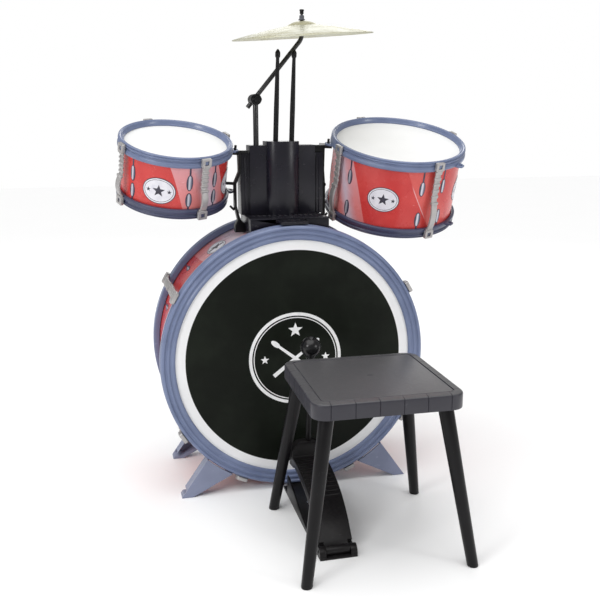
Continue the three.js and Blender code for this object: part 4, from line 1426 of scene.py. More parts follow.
@dataclass
class Drum:
    """A drum made standing, its struck side at height 0 and its shell below, then laid or leaned.

    Args:
        name: What its CAD nodes are called.
        radius: Outside of its hoops.
        lip_radius: The opening in its hoops.
        depth: Its depth.
        clamp_angles: Where its clamps are.
        wrap: The print round its shell.
        frame: Where it goes, in millimetres.
        hoop_height: Height of a hoop.
        lip_drop: How far the lip lies below the rim.
        lip_thickness: The lip's thickness.
        hoop_wall: The hoop's thickness.
        shell_wall: The shell's thickness.
        head_thickness: The head's thickness.
        clamp: The clamps' sizes.
        film: Its struck head's finish.
        two_headed: Whether it has a head at both ends.
        lug_angles: Where its hoops have lugs for a bracket.
        side_grooves: A hoop's grooved side, going up: distance from its outside and share of its height.
        rim_steps: Its stepped rim, going in: distance from its outside and depth.
        lip_steps: The rim's end: distance from the opening and height above the lip.
        lug_prints: The lugs printed on its shell.
        badges: Where badges are printed: angle and height.
        badge_size: The badges' width and height.
    """

    name: str
    radius: float
    lip_radius: float
    depth: float
    clamp_angles: tuple[float, ...]
    wrap: PrintedWrap
    frame: Matrix
    hoop_height: float = 16.0
    lip_drop: float = 6.4
    lip_thickness: float = 2.0
    hoop_wall: float = 5.0
    shell_wall: float = 2.2
    head_thickness: float = 1.2
    clamp: StrapClamp = TOM_CLAMP
    film: DrumFilm = WHITE_FILM
    two_headed: bool = False
    lug_angles: tuple[float, ...] = ()
    side_grooves: tuple[Point, ...] = (
        (0.0, 0.68), (1.4, 0.6), (1.2, 0.53), (2.6, 0.49), (2.4, 0.38), (0.8, 0.33), (0.7, 0.24), (2.3, 0.2),
        (2.0, 0.13), (1.0, 0.1),
    )
    rim_steps: tuple[Point, ...] = ((2.4, 0.2), (3.6, 0.0), (4.6, 1.0), (5.6, 1.1), (6.4, 0.5), (7.4, 2.6))
    lip_steps: tuple[Point, ...] = ((1.4, 0.8), (0.2, -0.3))
    lug_prints: tuple[LugPrint, ...] = ()
    badges: tuple[Point, ...] = ()
    badge_size: Point = (51.0, 41.0)

    @property
    def shell_radius(self) -> float:
        """Outside of the shell."""
        return self.radius - self.hoop_wall - 1

    @property
    def under_lip(self) -> float:
        """Depth of the head's struck side below the rim."""
        return self.lip_drop + self.lip_thickness + CLEAR

    @property
    def peg_depth(self) -> float:
        """How far the pegs lie inside the drum's ends."""
        return self.hoop_height * 0.45

    def build(self, shop: Workshop) -> None:
        """Builds every piece of the drum."""
        end = "front" if self.two_headed else "top"
        far_end = "back" if self.two_headed else "bottom"
        for facing, suffix in ((1, f"{end}_hoop"), (-1, f"{far_end}_hoop")):
            hoop = self._hoop(facing)
            if facing < 0:
                shifted(hoop, z=-self.depth)
            node = f"{self.name}_{suffix}"
            # The toms' lower hoops take the darker copy of the hoop blue, which is painted shade.
            colour = HOOP_BLUE if facing > 0 or self.two_headed else HOOP_BLUE_PAINTED_SHADE
            shop.place(hoop, f"{node}_moulding", [colour], "hoop_plastic", "kit", [node], self.frame)
        shop.place(self._shell(), f"{self.name}_shell_wrap", [INNER_GREY, self.wrap], "printed_shell", "kit",
                   [f"{self.name}_shell"], self.frame)
        head = "front_head" if self.two_headed else "head"
        slot = "front_film" if self.two_headed else "white_film"
        shop.place(self._head(-self.under_lip), f"{self.name}_{head}_film", [self.film], slot, "kit",
                   [f"{self.name}_{head}"], self.frame)
        if self.two_headed:
            low = -self.depth + self.under_lip + self.head_thickness
            shop.place(self._head(low), f"{self.name}_back_head_film", [WHITE_FILM], "white_film", "kit",
                       [f"{self.name}_back_head"], self.frame)
        for index, angle in enumerate(self.clamp_angles, 1):
            node = f"{self.name}_clamp_{index}"
            clamp = self.clamp.form(self.radius, self.depth, self.peg_depth)
            shop.place(clamp, f"{node}_casting", [SILVER], "clamp_plastic", "kit", [node],
                       self.frame @ swung(angle))
        self._print_decoration(shop)

    def _hoop(self, facing: int) -> Form:
        """Makes a hoop with its pegs and lugs.

        Args:
            facing: 1 for the struck end, -1 for the far end.

        Returns:
            The hoop, with its rim at height 0.
        """
        outer, lip, height = self.radius, self.lip_radius, self.hoop_height
        inner = outer - self.hoop_wall
        under = -self.lip_drop - self.lip_thickness
        profile = [(lip, under), (inner, under), (inner, -height), (outer - 1, -height), (outer, 1 - height)]
        profile += [(outer - inset, -height * share) for inset, share in self.side_grooves]
        profile += [(outer - inset, -drop) for inset, drop in self.rim_steps]
        profile += [(lip + out, -self.lip_drop + rise) for out, rise in self.lip_steps]
        hoop = rounded(spun([(r, facing * h) for r, h in profile], ROUND_STEPS), 0.45, 2, 24.0)
        parts = []
        for angle in self.clamp_angles:
            end = outer + self.clamp.cap_thickness - 1
            peg = slab(rectangle(self.clamp.peg, self.clamp.peg), outer - 4, end)
            shifted(moved(rounded(peg, 0.8), OUTWARDS), z=-facing * self.peg_depth)
            parts.append(moved(peg, swung(angle)))
        parts += [moved(self._lug(facing), swung(angle)) for angle in self.lug_angles]
        return joined(hoop, *parts)

    def _lug(self, facing: int) -> Form:
        """Makes a hoop's flat lug, with its hole. See _hoop for the argument."""
        root, waist, end, half = self.radius - 3, self.radius + 3, self.radius + 9.5, 8.0
        form = bmesh.new()
        outline = [(root, -half), (waist, -half), (end, -half / 2), (end, half / 2), (waist, half),
                   (root, half)]
        hole = [(x + self.radius + 4.5, y) for x, y in oval(5.2, 5.2, 16)]
        for loop in (outline, hole):
            corners = [form.verts.new((x, y, 0.0)) for x, y in loop]
            for pair in zip(corners, corners[1:] + corners[:1]):
                form.edges.new(pair)
        bmesh.ops.triangle_fill(form, use_beauty=True, use_dissolve=False, edges=form.edges[:])
        low = -self.hoop_height if facing > 0 else self.hoop_height - 3.0
        return rounded(thickened(form, low, low + 3.0), 0.5, 2, 50.0)

    def _shell(self) -> Form:
        """Makes the shell, printed outside and plain inside."""
        outer = self.shell_radius
        inner = outer - self.shell_wall
        top = -self.under_lip - self.head_thickness - CLEAR
        bottom = -self.depth - top if self.two_headed else -self.depth + self.under_lip
        form = spun([(inner, bottom), (outer, bottom), (outer, top), (inner, top)], ROUND_STEPS)
        wrapped(form, lambda place: -place.z / WRAP_SPAN)
        middle = outer - self.shell_wall / 2
        return painted(form, 1, lambda face: face.calc_center_median().xy.length > middle)

    def _head(self, top: float) -> Form:
        """Makes a head whose struck side is at a given height."""
        low = top - self.head_thickness
        edge = self.shell_radius
        profile = [(0.0, low), (edge * 0.5, low), (edge, low), (edge, top), (edge * 0.8, top),
                   (edge * 0.4, top), (0.0, top)]
        return wrapped(spun(profile, ROUND_STEPS, False), lambda place: place.xy.length / WRAP_SPAN)

    def _print_decoration(self, shop: Workshop) -> None:
        """Adds the printed lugs and badges."""
        radius = self.shell_radius
        for index, spec in enumerate(self.lug_prints, 1):
            length = spec.high - spec.low
            middle = (spec.high + spec.low) / 2
            to_hoop = -spec.high if spec.up else spec.low + self.depth
            to_hoop -= self.hoop_height
            stem = max(to_hoop, 2.0) + 3
            shift = (length / 2 + stem / 2 - 2) * (1 if spec.up else -1)
            back = painted(patch(oval(spec.width, length), 0.1, 0.35), 1)
            stalk = painted(patch(rectangle(2.6, stem), 0.1, 0.35), 1)
            front = painted(patch(oval(spec.width * 0.7, length * 0.86), 0.3, 0.75), 0)
            shifted(stalk, y=shift)
            form = bent_round(joined(back, stalk, front), radius, spec.angle, middle)
            shop.place(form, f"{self.name}_printed_lug_{index}", [LUG_CHROME, LUG_EDGE], "printed_shell",
                       frame=self.frame)
        width, height = self.badge_size
        for index, (angle, level) in enumerate(self.badges, 1):
            form = joined(
                painted(patch(oval(width, height, 48), 0.1, 0.3), 1),
                painted(patch(oval(width - 2.4, height - 2.4, 48), 0.25, 0.45), 0),
                painted(patch(oval(width - 6.0, height - 6.0, 48), 0.4, 0.52, 0.7), 1),
                painted(patch(star(height * 0.24), 0.4, 0.55), 1),
                *(painted(shifted(patch(star(height * 0.09), 0.4, 0.55), x=width * 0.31 * side.value), 1)
                  for side in Side),
            )
            shop.place(bent_round(form, radius, angle, level), f"{self.name}_printed_badge_{index}",
                       [BADGE_WHITE, BADGE_DARK], "printed_shell", frame=self.frame)


@dataclass
class BassDrum(Drum):
    """The bass drum: a drum on its side with an emblem on its front head, on four flanged feet.

    Args:
        emblem_radius: Radius of the emblem's outer ring.
    """

    hoop_height: float = 22.0
    lip_drop: float = 2.6
    lip_thickness: float = 2.4
    hoop_wall: float = 10.0
    shell_wall: float = 3.0
    head_thickness: float = 1.5
    clamp: StrapClamp = BASS_CLAMP
    film: DrumFilm = FRONT_FILM
    two_headed: bool = True
    side_grooves: tuple[Point, ...] = (
        (0.0, 0.68), (1.4, 0.6), (1.2, 0.52), (2.8, 0.46), (2.6, 0.34), (0.9, 0.28),
    )
    rim_steps: tuple[Point, ...] = (
        (0.6, 2.5), (3.0, 0.0), (5.6, 0.1), (6.8, 2.3), (9.0, 2.3), (10.4, 0.5), (13.2, 0.7), (14.6, 2.5),
        (16.8, 2.6), (18.2, 1.4),
    )
    lip_steps: tuple[Point, ...] = ((2.4, 1.1), (0.8, 0.2))
    badge_size: Point = (35.0, 57.0)
    emblem_radius: float = 74.0

    def build(self, shop: Workshop) -> None:
        """Builds every piece of the drum, its emblem and its feet."""
        super().build(shop)
        self._build_emblem(shop)
        axis = shop.origin + self.frame.translation * MM
        clear = (self.radius + 2.0) * MM

        def off_hoop(edge: Edge) -> bool:
            """Tells whether an edge keeps clear of the hoops."""
            return all((vert.co - axis).xz.length > clear for vert in edge.verts)

        for end in ("front", "back"):
            for side in Side:
                node = f"bass_foot_{end}_{side.name.lower()}"
                shop.soften(node, 0.7, FOOT_BLUE, "foot_plastic", only=off_hoop)

    def _build_emblem(self, shop: Workshop) -> None:
        """Prints a double ring round crossed sticks and stars on the front head."""
        reach = self.emblem_radius
        thick = (0.1, 0.3)
        parts = [
            patch(oval(reach * 2, reach * 2, 96), *thick, 5.0),
            patch(oval(reach * 1.8, reach * 1.8, 96), *thick, 1.3),
            shifted(patch(star(12.0), *thick), y=reach * 0.62),
            shifted(patch(star(8.0), *thick), y=-reach * 0.66),
        ]
        for side in Side:
            shaft = [(-3.2, -46.0), (3.2, -46.0), (2.0, 32.0), (-2.0, 32.0)]
            stick = joined(patch(shaft, *thick), shifted(patch(oval(8.0, 17.0), 0.1, 0.34), y=38.0))
            shifted(stick, y=2.0, z=side.value * 0.02)
            parts.append(moved(stick, swung(52.0 * side.value)))
            parts.append(shifted(patch(star(7.0), *thick), x=side.value * reach * 0.66))
        shop.place(joined(*parts), "bass_front_emblem", [EMBLEM_WHITE], "front_film",
                   frame=self.frame @ Matrix.Translation((0.0, 0.0, -self.under_lip)))


# ---------- Tower, brackets, sticks and cymbal stand ----------


@dataclass
class Tower:
    """The black tower on the bass drum with the toms' brackets.

    Args:
        rounding: Rounding of its edges.
        base_width: Width of its base.
        base_front: Where its base's front lies.
        base_top: Height of its base's top.
        tongue_top: Height of the tongue over the hoop.
        body_front: Where its body's front lies.
        shoulder: Height of its body's shoulders.
        vents: How many rows and columns of vents its base has.
        vent_pitch: Their pitch across and back.
    """

    rounding: float = 1.2
    base_width: float = 125.0
    base_front: float = 36.0
    base_top: float = 432.0
    tongue_top: float = 429.8
    body_front: float = 92.0
    shoulder: float = 529.0
    vents: tuple[int, int] = (3, 13)
    vent_pitch: Point = (8.4, 5.5)

    def build(self, shop: Workshop) -> None:
        """Builds the tower's two mouldings and both brackets."""
        shop.soften("tower_base", self.rounding, TOWER_BLACK, "tower_plastic", segments=3)
        shop.soften("tower_body", self.rounding, TOWER_BLACK, "tower_plastic", segments=3, angle=40.0)
        for side in Side:
            shop.soften(f"tom_{side.name.lower()}_bracket", 0.5, PART_BLACK, "bracket_plastic", angle=40.0)
        shop.place(self._trim(), "tower_trim", [TOWER_BLACK], "tower_plastic")

    def _trim(self) -> Form:
        """Makes the raised details: edge lip, vents, tongue border and the ribs beside the core."""
        half = self.base_width / 2
        lip = slab(rectangle(self.base_width - 2, 2.4), self.base_top - 2.2, self.base_top + 0.7)
        border = ringed(flat(rectangle(36.0, 26.0)), 1.8)
        thickened(border, self.tongue_top - 0.4, self.tongue_top + 0.9)
        parts = [
            rounded(shifted(lip, y=self.base_front + 0.2), 0.6),
            shifted(rounded(border, 0.35), y=self.base_front - 17.0),
        ]
        rows, columns = self.vents
        pitch_x, pitch_y = self.vent_pitch
        for row in range(rows):
            for column in range(columns):
                vent = rounded(slab(rectangle(5.6, 1.7), self.base_top - 0.3, self.base_top + 0.8), 0.35, 1)
                x, y = (column - columns // 2) * pitch_x, self.base_front + 30.0 + row * pitch_y
                parts.append(shifted(vent, x, y))
        for side in Side:
            for out in (half - 1.8, half - 6.4):
                rib = rounded(slab(rectangle(2.0, 2.4), self.base_top + 1.5, self.shoulder - 4.0), 0.6)
                parts.append(shifted(rib, side.value * out, self.body_front))
        return joined(*parts)


@dataclass
class Drumsticks:
    """Two plastic drumsticks stood in the tower's top.

    Args:
        radius: The shaft's radius.
        length: The whole length.
        places: Where each stick's axis meets the tower's top: x, y, z.
        sunk: How deep they stand in the tower.
        lean: Their lean to the right in degrees.
    """

    radius: float = 4.0
    length: float = 232.0
    places: tuple[tuple[float, float, float], ...] = ((-9.5, 96.0, 547.0), (16.5, 96.0, 547.0))
    sunk: float = 92.0
    lean: float = 2.0

    def build(self, shop: Workshop) -> None:
        """Builds both sticks."""
        up = Vector((math.sin(math.radians(self.lean)), 0.0, math.cos(math.radians(self.lean))))
        for side, place in zip(Side, self.places):
            name = side.name.lower()
            foot = Vector(place) + up * (CLEAR - self.sunk)
            shop.place(self._stick(), f"drumstick_{name}_turned", [STICK_BLACK], "stick_plastic",
                       f"stick_{name}", [f"drumstick_{name}"], Matrix.Translation(foot) @ aimed(up), 50.0)

    def _stick(self) -> Form:
        """Makes one stick standing on its butt."""
        neck = self.length - 14.0
        profile = [(0.0, 0.0), (self.radius - 1.4, 0.0), (self.radius - 0.4, 0.5), (self.radius, 1.6),
                   (self.radius, self.length * 0.62), (3.35, self.length * 0.8), (2.7, neck)]
        for step in range(1, 12):
            share = step / 12
            bulb = 4.1 * math.sin(math.pi * share) ** 0.6 * (1 - 0.25 * share)
            profile.append((min(4.0, 2.7 * (1 - share) * 0.6 + bulb), neck + 14.0 * share))
        profile.append((0.0, self.length))
        return spun(profile, 28, False)


@dataclass
class CymbalStand:
    """The post, the boom with its clamp, and the cymbal on its bolt.

    Args:
        post: The post's axis at its top: x, y, z.
        post_radius: The post's radius.
        post_length: The post's whole length.
        clamp_height: Height of the boom clamp's axis.
        boom_y: Where the boom's axis lies.
        bend: Where the boom bends upright: x and z.
        boom_radius: The boom's radius.
        tail: How far the boom goes on below the clamp.
        bolt_top: Height of the bolt's top.
        bell_top: Height of the cymbal's bell.
        cymbal_radius: The cymbal's radius.
        bow: Rise of its bow.
        bell_radius: Radius of its bell.
        bell_rise: Rise of its bell.
        thickness: Its thickness.
        hole: Radius of its hole.
        bore: Radius of the holes that the bolt goes through.
        lean: Its lean to the left and to the player, in degrees.
    """

    post: tuple[float, float, float] = (-41.0, 96.0, 618.0)
    post_radius: float = 4.2
    post_length: float = 136.7
    clamp_height: float = 611.0
    boom_y: float = 110.5
    bend: Point = (37.0, 704.0)
    boom_radius: float = 3.5
    tail: float = 16.0
    bolt_top: float = 746.0
    bell_top: float = 730.5
    cymbal_radius: float = 111.0
    bow: float = 16.0
    bell_radius: float = 25.0
    bell_rise: float = 6.5
    thickness: float = 1.8
    hole: float = 4.6
    bore: float = 2.32
    lean: Point = (4.1, 3.4)

    def build(self, shop: Workshop) -> None:
        """Builds every piece of the stand and the cymbal."""
        radius, length = self.post_radius, self.post_length
        post = spun([(0.0, -length), (radius, -length), (radius, 0.0), (0.0, 0.0)], 32, False)
        shop.place(rounded(post, 0.7, 3), "cymbal_post_tube", [BLACK_TUBE], "stand_tube", "post",
                   ["cymbal_post"], Matrix.Translation(self.post))
        shop.soften("boom_clamp_body", 1.1, PART_BLACK, "stand_plastic", "post", 3)
        shop.soften("boom_clamp_jaw", 1.1, PART_BLACK, "stand_plastic", "boom", 3)
        shop.soften("boom_clamp_knob", 0.9, PART_BLACK, "stand_plastic", "knob", 3)
        shop.place(self._boom(), "boom_arm_rod", [BLACK_TUBE], "stand_tube", "boom", ["boom_arm"])
        at_bell = Matrix.Translation((self.bend[0], self.boom_y, self.bell_top))
        washer = self._bored([(6.1, -8.6), (6.5, -8.1), (6.5, -4.9), (5.9, -4.5), (3.1, -3.6), (3.1, 0.9)])
        shop.place(washer, "cymbal_washer_rubber", [RUBBER_BLACK], "washer_rubber", "washer",
                   ["cymbal_washer"], at_bell)
        sleeve = self._bored([(5.1, 1.2), (5.4, 1.5), (5.4, 2.1), (4.3, 3.0), (3.75, 3.4), (3.75, 7.9),
                              (3.4, 8.2)])
        shop.place(sleeve, "cymbal_sleeve_moulding", [SLEEVE_GREY], "sleeve_plastic", "boom",
                   ["cymbal_sleeve"], at_bell)
        cap = spun([(0.0, CLEAR + 0.05), (self.bore, CLEAR), (self.bore, -5.0), (3.0, -5.0), (3.0, -1.2),
                    (3.6, -0.2), (3.6, 0.9), (3.1, 1.6), (0.0, 1.6)], 28, False)
        shop.place(cap, "boom_end_cap_moulding", [PART_BLACK], "stand_plastic", "boom", ["boom_end_cap"],
                   Matrix.Translation((self.bend[0], self.boom_y, self.bolt_top)))
        to_left, to_player = (math.tan(math.radians(angle)) for angle in self.lean)
        up = Vector((-to_left, -to_player, 1.0)).normalized()
        base = Vector((self.bend[0], self.boom_y, self.bell_top)) - up * (self.bow + self.bell_rise)
        shop.place(self._cymbal(), "cymbal_sheet", [CYMBAL_GOLD], "cymbal", "cymbal", ["cymbal"],
                   Matrix.Translation(base) @ aimed(up), 50.0)

    def _bored(self, outside: Sequence[Point]) -> Form:
        """Makes a small turned piece bored for the bolt, from its outside going up."""
        return spun([(self.bore, outside[0][1]), *outside, (self.bore, outside[-1][1])], 32)

    def _boom(self) -> Form:
        """Makes the boom: a slanting rod that bends upright and narrows to the bolt."""
        low = Vector((self.post[0], self.boom_y, self.clamp_height))
        corner = Vector((self.bend[0], self.boom_y, self.bend[1]))
        along = (corner - low).normalized()
        before, after = corner - along * 8, corner + Vector((0.0, 0.0, 8.0))
        path = [low - along * self.tail]
        for step in range(11):
            share = step / 10
            path.append(before * (1 - share) ** 2 + corner * 2 * share * (1 - share) + after * share ** 2)
        arm = rounded(rod(path, self.boom_radius, 5), 0.6, 2, 60.0)
        top = self.bolt_top - after.z
        bolt = spun([(0.0, -1.0), (2.0, -1.0), (2.0, top), (0.0, top)], 24, False)
        threads = [spun([(1.6, 12.0 + turn * 0.9), (2.0, 12.2 + turn * 0.9), (2.0, 12.5 + turn * 0.9),
                         (1.6, 12.7 + turn * 0.9)], 20) for turn in range(3)]
        return joined(arm, shifted(joined(bolt, *threads), *after))

    def _cymbal(self) -> Form:
        """Makes the cymbal, its rim at height 0."""
        upper = []
        for step in range(17):
            share = step / 16
            rise = self.bow * share * (1.25 - 0.25 * share)
            upper.append((self.cymbal_radius + (self.bell_radius - self.cymbal_radius) * share, rise))
        for step in range(1, 9):
            share = step / 8
            upper.append((self.bell_radius + (self.hole - self.bell_radius) * share,
                          self.bow + self.bell_rise * math.sin(math.pi / 2 * share)))
        lower = [(radius, height - self.thickness) for radius, height in reversed(upper)]
        form = rounded(spun([*upper, *lower], ROUND_STEPS), 0.5, 2, 50.0)
        return wrapped(form, lambda place: place.xy.length / WRAP_SPAN)


# ---------- Pedal ----------


@dataclass
class Pedal:
    """The bass pedal: base, ribbed footboard, return spring and beater.

    Args:
        rod_foot: The beater rod's lower end.
        ball: The middle of the beater's ball.
        rod_radius: The rod's radius.
        ball_radius: The ball's radius.
        spring_place: The spring's axis: x and y.
        spring_radius: The spring's radius.
        wire: Its wire's radius.
        turns: How many turns it has.
        spring_span: Height of its lowest and highest points' middles.
    """

    rod_foot: tuple[float, float, float] = (8.0, -41.0, 62.0)
    ball: tuple[float, float, float] = (8.0, -60.0, 251.0)
    rod_radius: float = 4.0
    ball_radius: float = 15.5
    spring_place: Point = (6.0, -82.0)
    spring_radius: float = 9.0
    wire: float = 1.1
    turns: int = 5
    spring_span: Point = (5.4, 66.7)

    def build(self, shop: Workshop) -> None:
        """Builds every piece of the pedal."""
        shop.soften("pedal_base", 0.7, PEDAL_BLACK, "pedal_plastic", angle=40.0)
        shop.soften("pedal_footboard", 0.45, PEDAL_BLACK, "pedal_plastic", "footboard", angle=40.0)
        shop.soften("pedal_hinge_pin", 0.5, BRIGHT_STEEL, "steel")
        foot, ball = Vector(self.rod_foot), Vector(self.ball)
        up = (ball - foot).normalized()
        shaft = rounded(cone(foot + up * CLEAR, ball + up * 2, self.rod_radius, self.rod_radius, 28), 0.6)
        shop.place(shaft, "beater_rod_turned", [PEDAL_BLACK], "beater_rod", "footboard", ["beater_rod"])
        shop.place(self._ball(), "beater_ball_moulding", [BEATER_BLACK], "beater_ball", "footboard",
                   ["beater_ball"], Matrix.Translation(ball) @ aimed(up), 50.0)
        spring = shop.place(self._spring(), "pedal_spring_coil", [BRIGHT_STEEL], "steel",
                            stands_for=["pedal_spring"])
        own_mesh(spring)

    def _ball(self) -> Form:
        """Makes the beater's ball with its neck and the dimple on top, its centre at height 0."""
        bore, neck = self.rod_radius + CLEAR, 6.5
        low = -self.ball_radius - 8.0
        profile = [(bore, low), (neck - 0.8, low), (neck, low + 0.8), (neck, -self.ball_radius + 0.4)]
        start = math.asin(-math.sqrt(self.ball_radius ** 2 - neck ** 2) / self.ball_radius)
        end = math.radians(66.0)
        for step in range(1, 25):
            turn = start + (end - start) * step / 24
            profile.append((self.ball_radius * math.cos(turn), self.ball_radius * math.sin(turn)))
        top = self.ball_radius
        profile += [(5.6, top * 0.905), (5.0, top * 0.86), (4.4, top * 0.76), (2.4, top * 0.7),
                    (0.0, top * 0.69)]
        inside = [(0.0, 2.3), (bore, 2.3)]
        return spun([*inside, *profile], 64, False)

    def _spring(self) -> Form:
        """Makes the return spring from the base to the footboard's underside."""
        low, high = self.spring_span
        steps = self.turns * 28
        path = []
        for step in range(steps + 1):
            turn = FULL_TURN * self.turns * step / steps
            path.append(Vector((
                self.spring_place[0] + self.spring_radius * math.cos(turn),
                self.spring_place[1] + self.spring_radius * math.sin(turn), low + (high - low) * step / steps,
            )))
        return rod(path, self.wire, 2)


# ---------- Stool ----------


@dataclass
class Stool:
    """The stool: a square seat with round corners, a panel line and a notched rim, on four splayed legs.

    Args:
        place: The seat's middle: x and y.
        turn: Its turn in degrees.
        width: The seat's width.
        depth: Its depth.
        top: Its height.
        rim: Height of its rim.
        corner: Its corners' radius.
        wall: Its wall.
        feet_out: How far the feet stand outside the seat: x and y.
        leg_inset: How far the legs' axes meet the top inside its edges.
        leg_radii: A leg's radius at its foot and under the seat.
        notches: Where the rim's notches are, from the middle of each side.
        notch_half: Half a notch's width.
        notch_depth: Its depth.
        crown: How far the panel stands above the rim's edge.
    """

    place: Point = (60.6, -176.25)
    turn: float = -0.8
    width: float = 203.5
    depth: float = 195.3
    top: float = 239.3
    rim: float = 22.0
    corner: float = 20.0
    wall: float = 4.0
    feet_out: Point = (12.2, 11.8)
    leg_inset: float = 25.0
    leg_radii: Point = (7.5, 10.5)
    notches: tuple[float, ...] = (-80.0, -48.0, -16.0, 16.0, 48.0, 80.0)
    notch_half: float = 0.55
    notch_depth: float = 0.8
    crown: float = 0.7

    def build(self, shop: Workshop) -> None:
        """Builds the seat and its legs."""
        frame = Matrix.Translation((*self.place, 0.0)) @ swung(self.turn)
        shop.place(self._seat(), "stool_seat_moulding", [SEAT_GREY], "seat_plastic", "stool",
                   ["stool_seat"], frame, 30.0)
        for end, forward in (("back", 1), ("front", -1)):
            for side in Side:
                node = f"stool_leg_{end}_{side.name.lower()}"
                shop.place(self._leg(side.value, forward), f"{node}_tube", [LEG_BLACK], "leg_plastic",
                           "stool", [node], frame)

    def _leg_point(self, side_x: int, side_y: int, height: float) -> Vector:
        """Gives a leg's axis at a height.

        Args:
            side_x: -1 for left, 1 for right.
            side_y: -1 for front, 1 for back.
            height: The height.

        Returns:
            The point on the axis.
        """
        share = 1 - height / self.top
        return Vector((
            side_x * (self.width / 2 - self.leg_inset + (self.leg_inset + self.feet_out[0]) * share),
            side_y * (self.depth / 2 - self.leg_inset + (self.leg_inset + self.feet_out[1]) * share), height,
        ))

    def _leg_cone(self, side_x: int, side_y: int, low: float, high: float, extra: float = 0.0) -> Form:
        """Makes a closed cone along a leg. See _leg_point for the leg's sides.

        Args:
            low: The height it starts at.
            high: The height it ends at.
            extra: What is added to the leg's radius.

        Returns:
            The cone.
        """
        taper = (self.leg_radii[1] - self.leg_radii[0]) / (self.top - self.wall - 1)
        return cone(
            self._leg_point(side_x, side_y, low), self._leg_point(side_x, side_y, high),
            self.leg_radii[0] + taper * low + extra, self.leg_radii[0] + taper * high + extra, 40,
        )

    def _leg(self, side_x: int, side_y: int) -> Form:
        """Makes one leg, cut level at the floor. See _leg_point for the leg's sides."""
        form = self._leg_cone(side_x, side_y, -12.0, self.top - self.wall - 1 - CLEAR)
        bmesh.ops.edgeloop_fill(form, edges=sliced(form, (0.0, 0.0, 0.0), UPRIGHT, below=True))
        tidied(form)
        return rounded(form, 1.3, 3, 50.0)

    def _seat(self) -> Form:
        """Makes the seat: rounded slab, pocket below, panel line, notched rim, leg sockets and gate mark."""
        edge_top, underside = self.top - self.crown, self.top - self.rim
        form = slab(rectangle(self.width, self.depth), underside, edge_top)
        rounded(form, self.corner, 10, 60.0, lambda edge: abs(edge.verts[0].co.z - edge.verts[1].co.z) > 1)
        rounded(form, 3.0, 4, 60.0, lambda edge: min(vert.co.z for vert in edge.verts) > edge_top - 0.01)
        rounded(form, 0.8, 2, 60.0, lambda edge: max(vert.co.z for vert in edge.verts) < underside + 0.01)
        upper = self._level_face(form, edge_top)
        for thickness, shift in ((8.5, self.crown), (0.8, -1.1), (0.9, 0.0), (0.7, 0.7)):
            bmesh.ops.inset_region(form, faces=[upper], thickness=thickness, use_even_offset=True)
            bmesh.ops.translate(form, verts=upper.verts[:], vec=(0.0, 0.0, shift))
        under = self._level_face(form, underside)
        for thickness, shift in ((self.wall - 0.8, 0.0), (0.1, self.rim - self.wall - 1)):
            bmesh.ops.inset_region(form, faces=[under], thickness=thickness, use_even_offset=True)
            bmesh.ops.translate(form, verts=under.verts[:], vec=(0.0, 0.0, shift))
        for offset in self.notches:
            self._notch(form, 0, offset)
            self._notch(form, 1, offset * self.depth / self.width)
        sockets = [self._socket(x, y) for x in (-1, 1) for y in (-1, 1)]
        mark = spun([(0.0, -0.9), (4.6, -0.9), (4.3, 0.3), (3.4, 0.3), (3.0, -0.3), (0.0, -0.3)], 28, False)
        moved(mark, Matrix.Translation((2.0, 4.0, self.top - 0.35)) @ Matrix.Diagonal((1.0, 0.6, 1.0, 1.0)))
        return joined(form, *sockets, mark)

    def _level_face(self, form: Form, height: float) -> Face:
        """Finds the large level face at a height."""
        level = [face for face in form.faces if abs(face.calc_center_median().z - height) < 0.01]
        return max(level, key=lambda face: face.calc_area())

    def _notch(self, form: Form, axis: int, offset: float) -> None:
        """Cuts a fine V across the two rims that run along an axis.

        Args:
            form: The seat, which is changed.
            axis: 0 for notches along X, 1 for Y.
            offset: Where along the axis.
        """
        plane = [0.0, 0.0, 0.0]
        plane[axis] = 1.0
        for shift in (-self.notch_half, 0.0, self.notch_half):
            place = [0.0, 0.0, 0.0]
            place[axis] = offset + shift
            sliced(form, place, plane)
        form.normal_update()
        edge = (self.depth if axis == 0 else self.width) / 2
        for vert in form.verts:
            if abs(vert.co[axis] - offset) < 0.01 and abs(vert.co[1 - axis]) > edge - 3.5:
                inwards = Vector((vert.normal.x, vert.normal.y, max(0.0, vert.normal.z)))
                vert.co -= inwards * self.notch_depth

    def _socket(self, side_x: int, side_y: int) -> Form:
        """Makes the collar under the seat round a leg. See _leg_point for the leg's sides."""
        form = self._leg_cone(side_x, side_y, self.top - self.rim - 9, self.top - self.wall, CLEAR + 3.2)
        caps = [face for face in form.faces if len(face.verts) > 4]
        bmesh.ops.delete(form, geom=caps, context="FACES_ONLY")
        sliced(form, (0.0, 0.0, self.top - self.rim), UPRIGHT, below=True)
        sliced(form, (0.0, 0.0, self.top - self.wall - 0.9), UPRIGHT, above=True)
        bmesh.ops.recalc_face_normals(form, faces=form.faces[:])
        bmesh.ops.solidify(form, geom=form.faces[:], thickness=2.9)
        return tidied(form)


# ---------- Studio ----------


@dataclass(frozen=True)
class SoftBox:
    """A large soft area light.

    Args:
        name: Its name.
        place: Where it hangs, in metres.
        size: Its side in metres.
        power: Its power in watts.
    """

    name: str
    place: tuple[float, float, float]
    size: float
    power: float

    def hang(self, target: Vector) -> None:
        """Hangs the light, turned to a target."""
        light = bpy.data.lights.new(self.name, "AREA")
        light.shape = "SQUARE"
        light.size = self.size
        light.energy = self.power
        holder = bpy.data.objects.new(self.name, light)
        holder.location = self.place
        holder.rotation_euler = (target - Vector(self.place)).to_track_quat("-Z", "Y").to_euler()
        bpy.context.scene.collection.objects.link(holder)


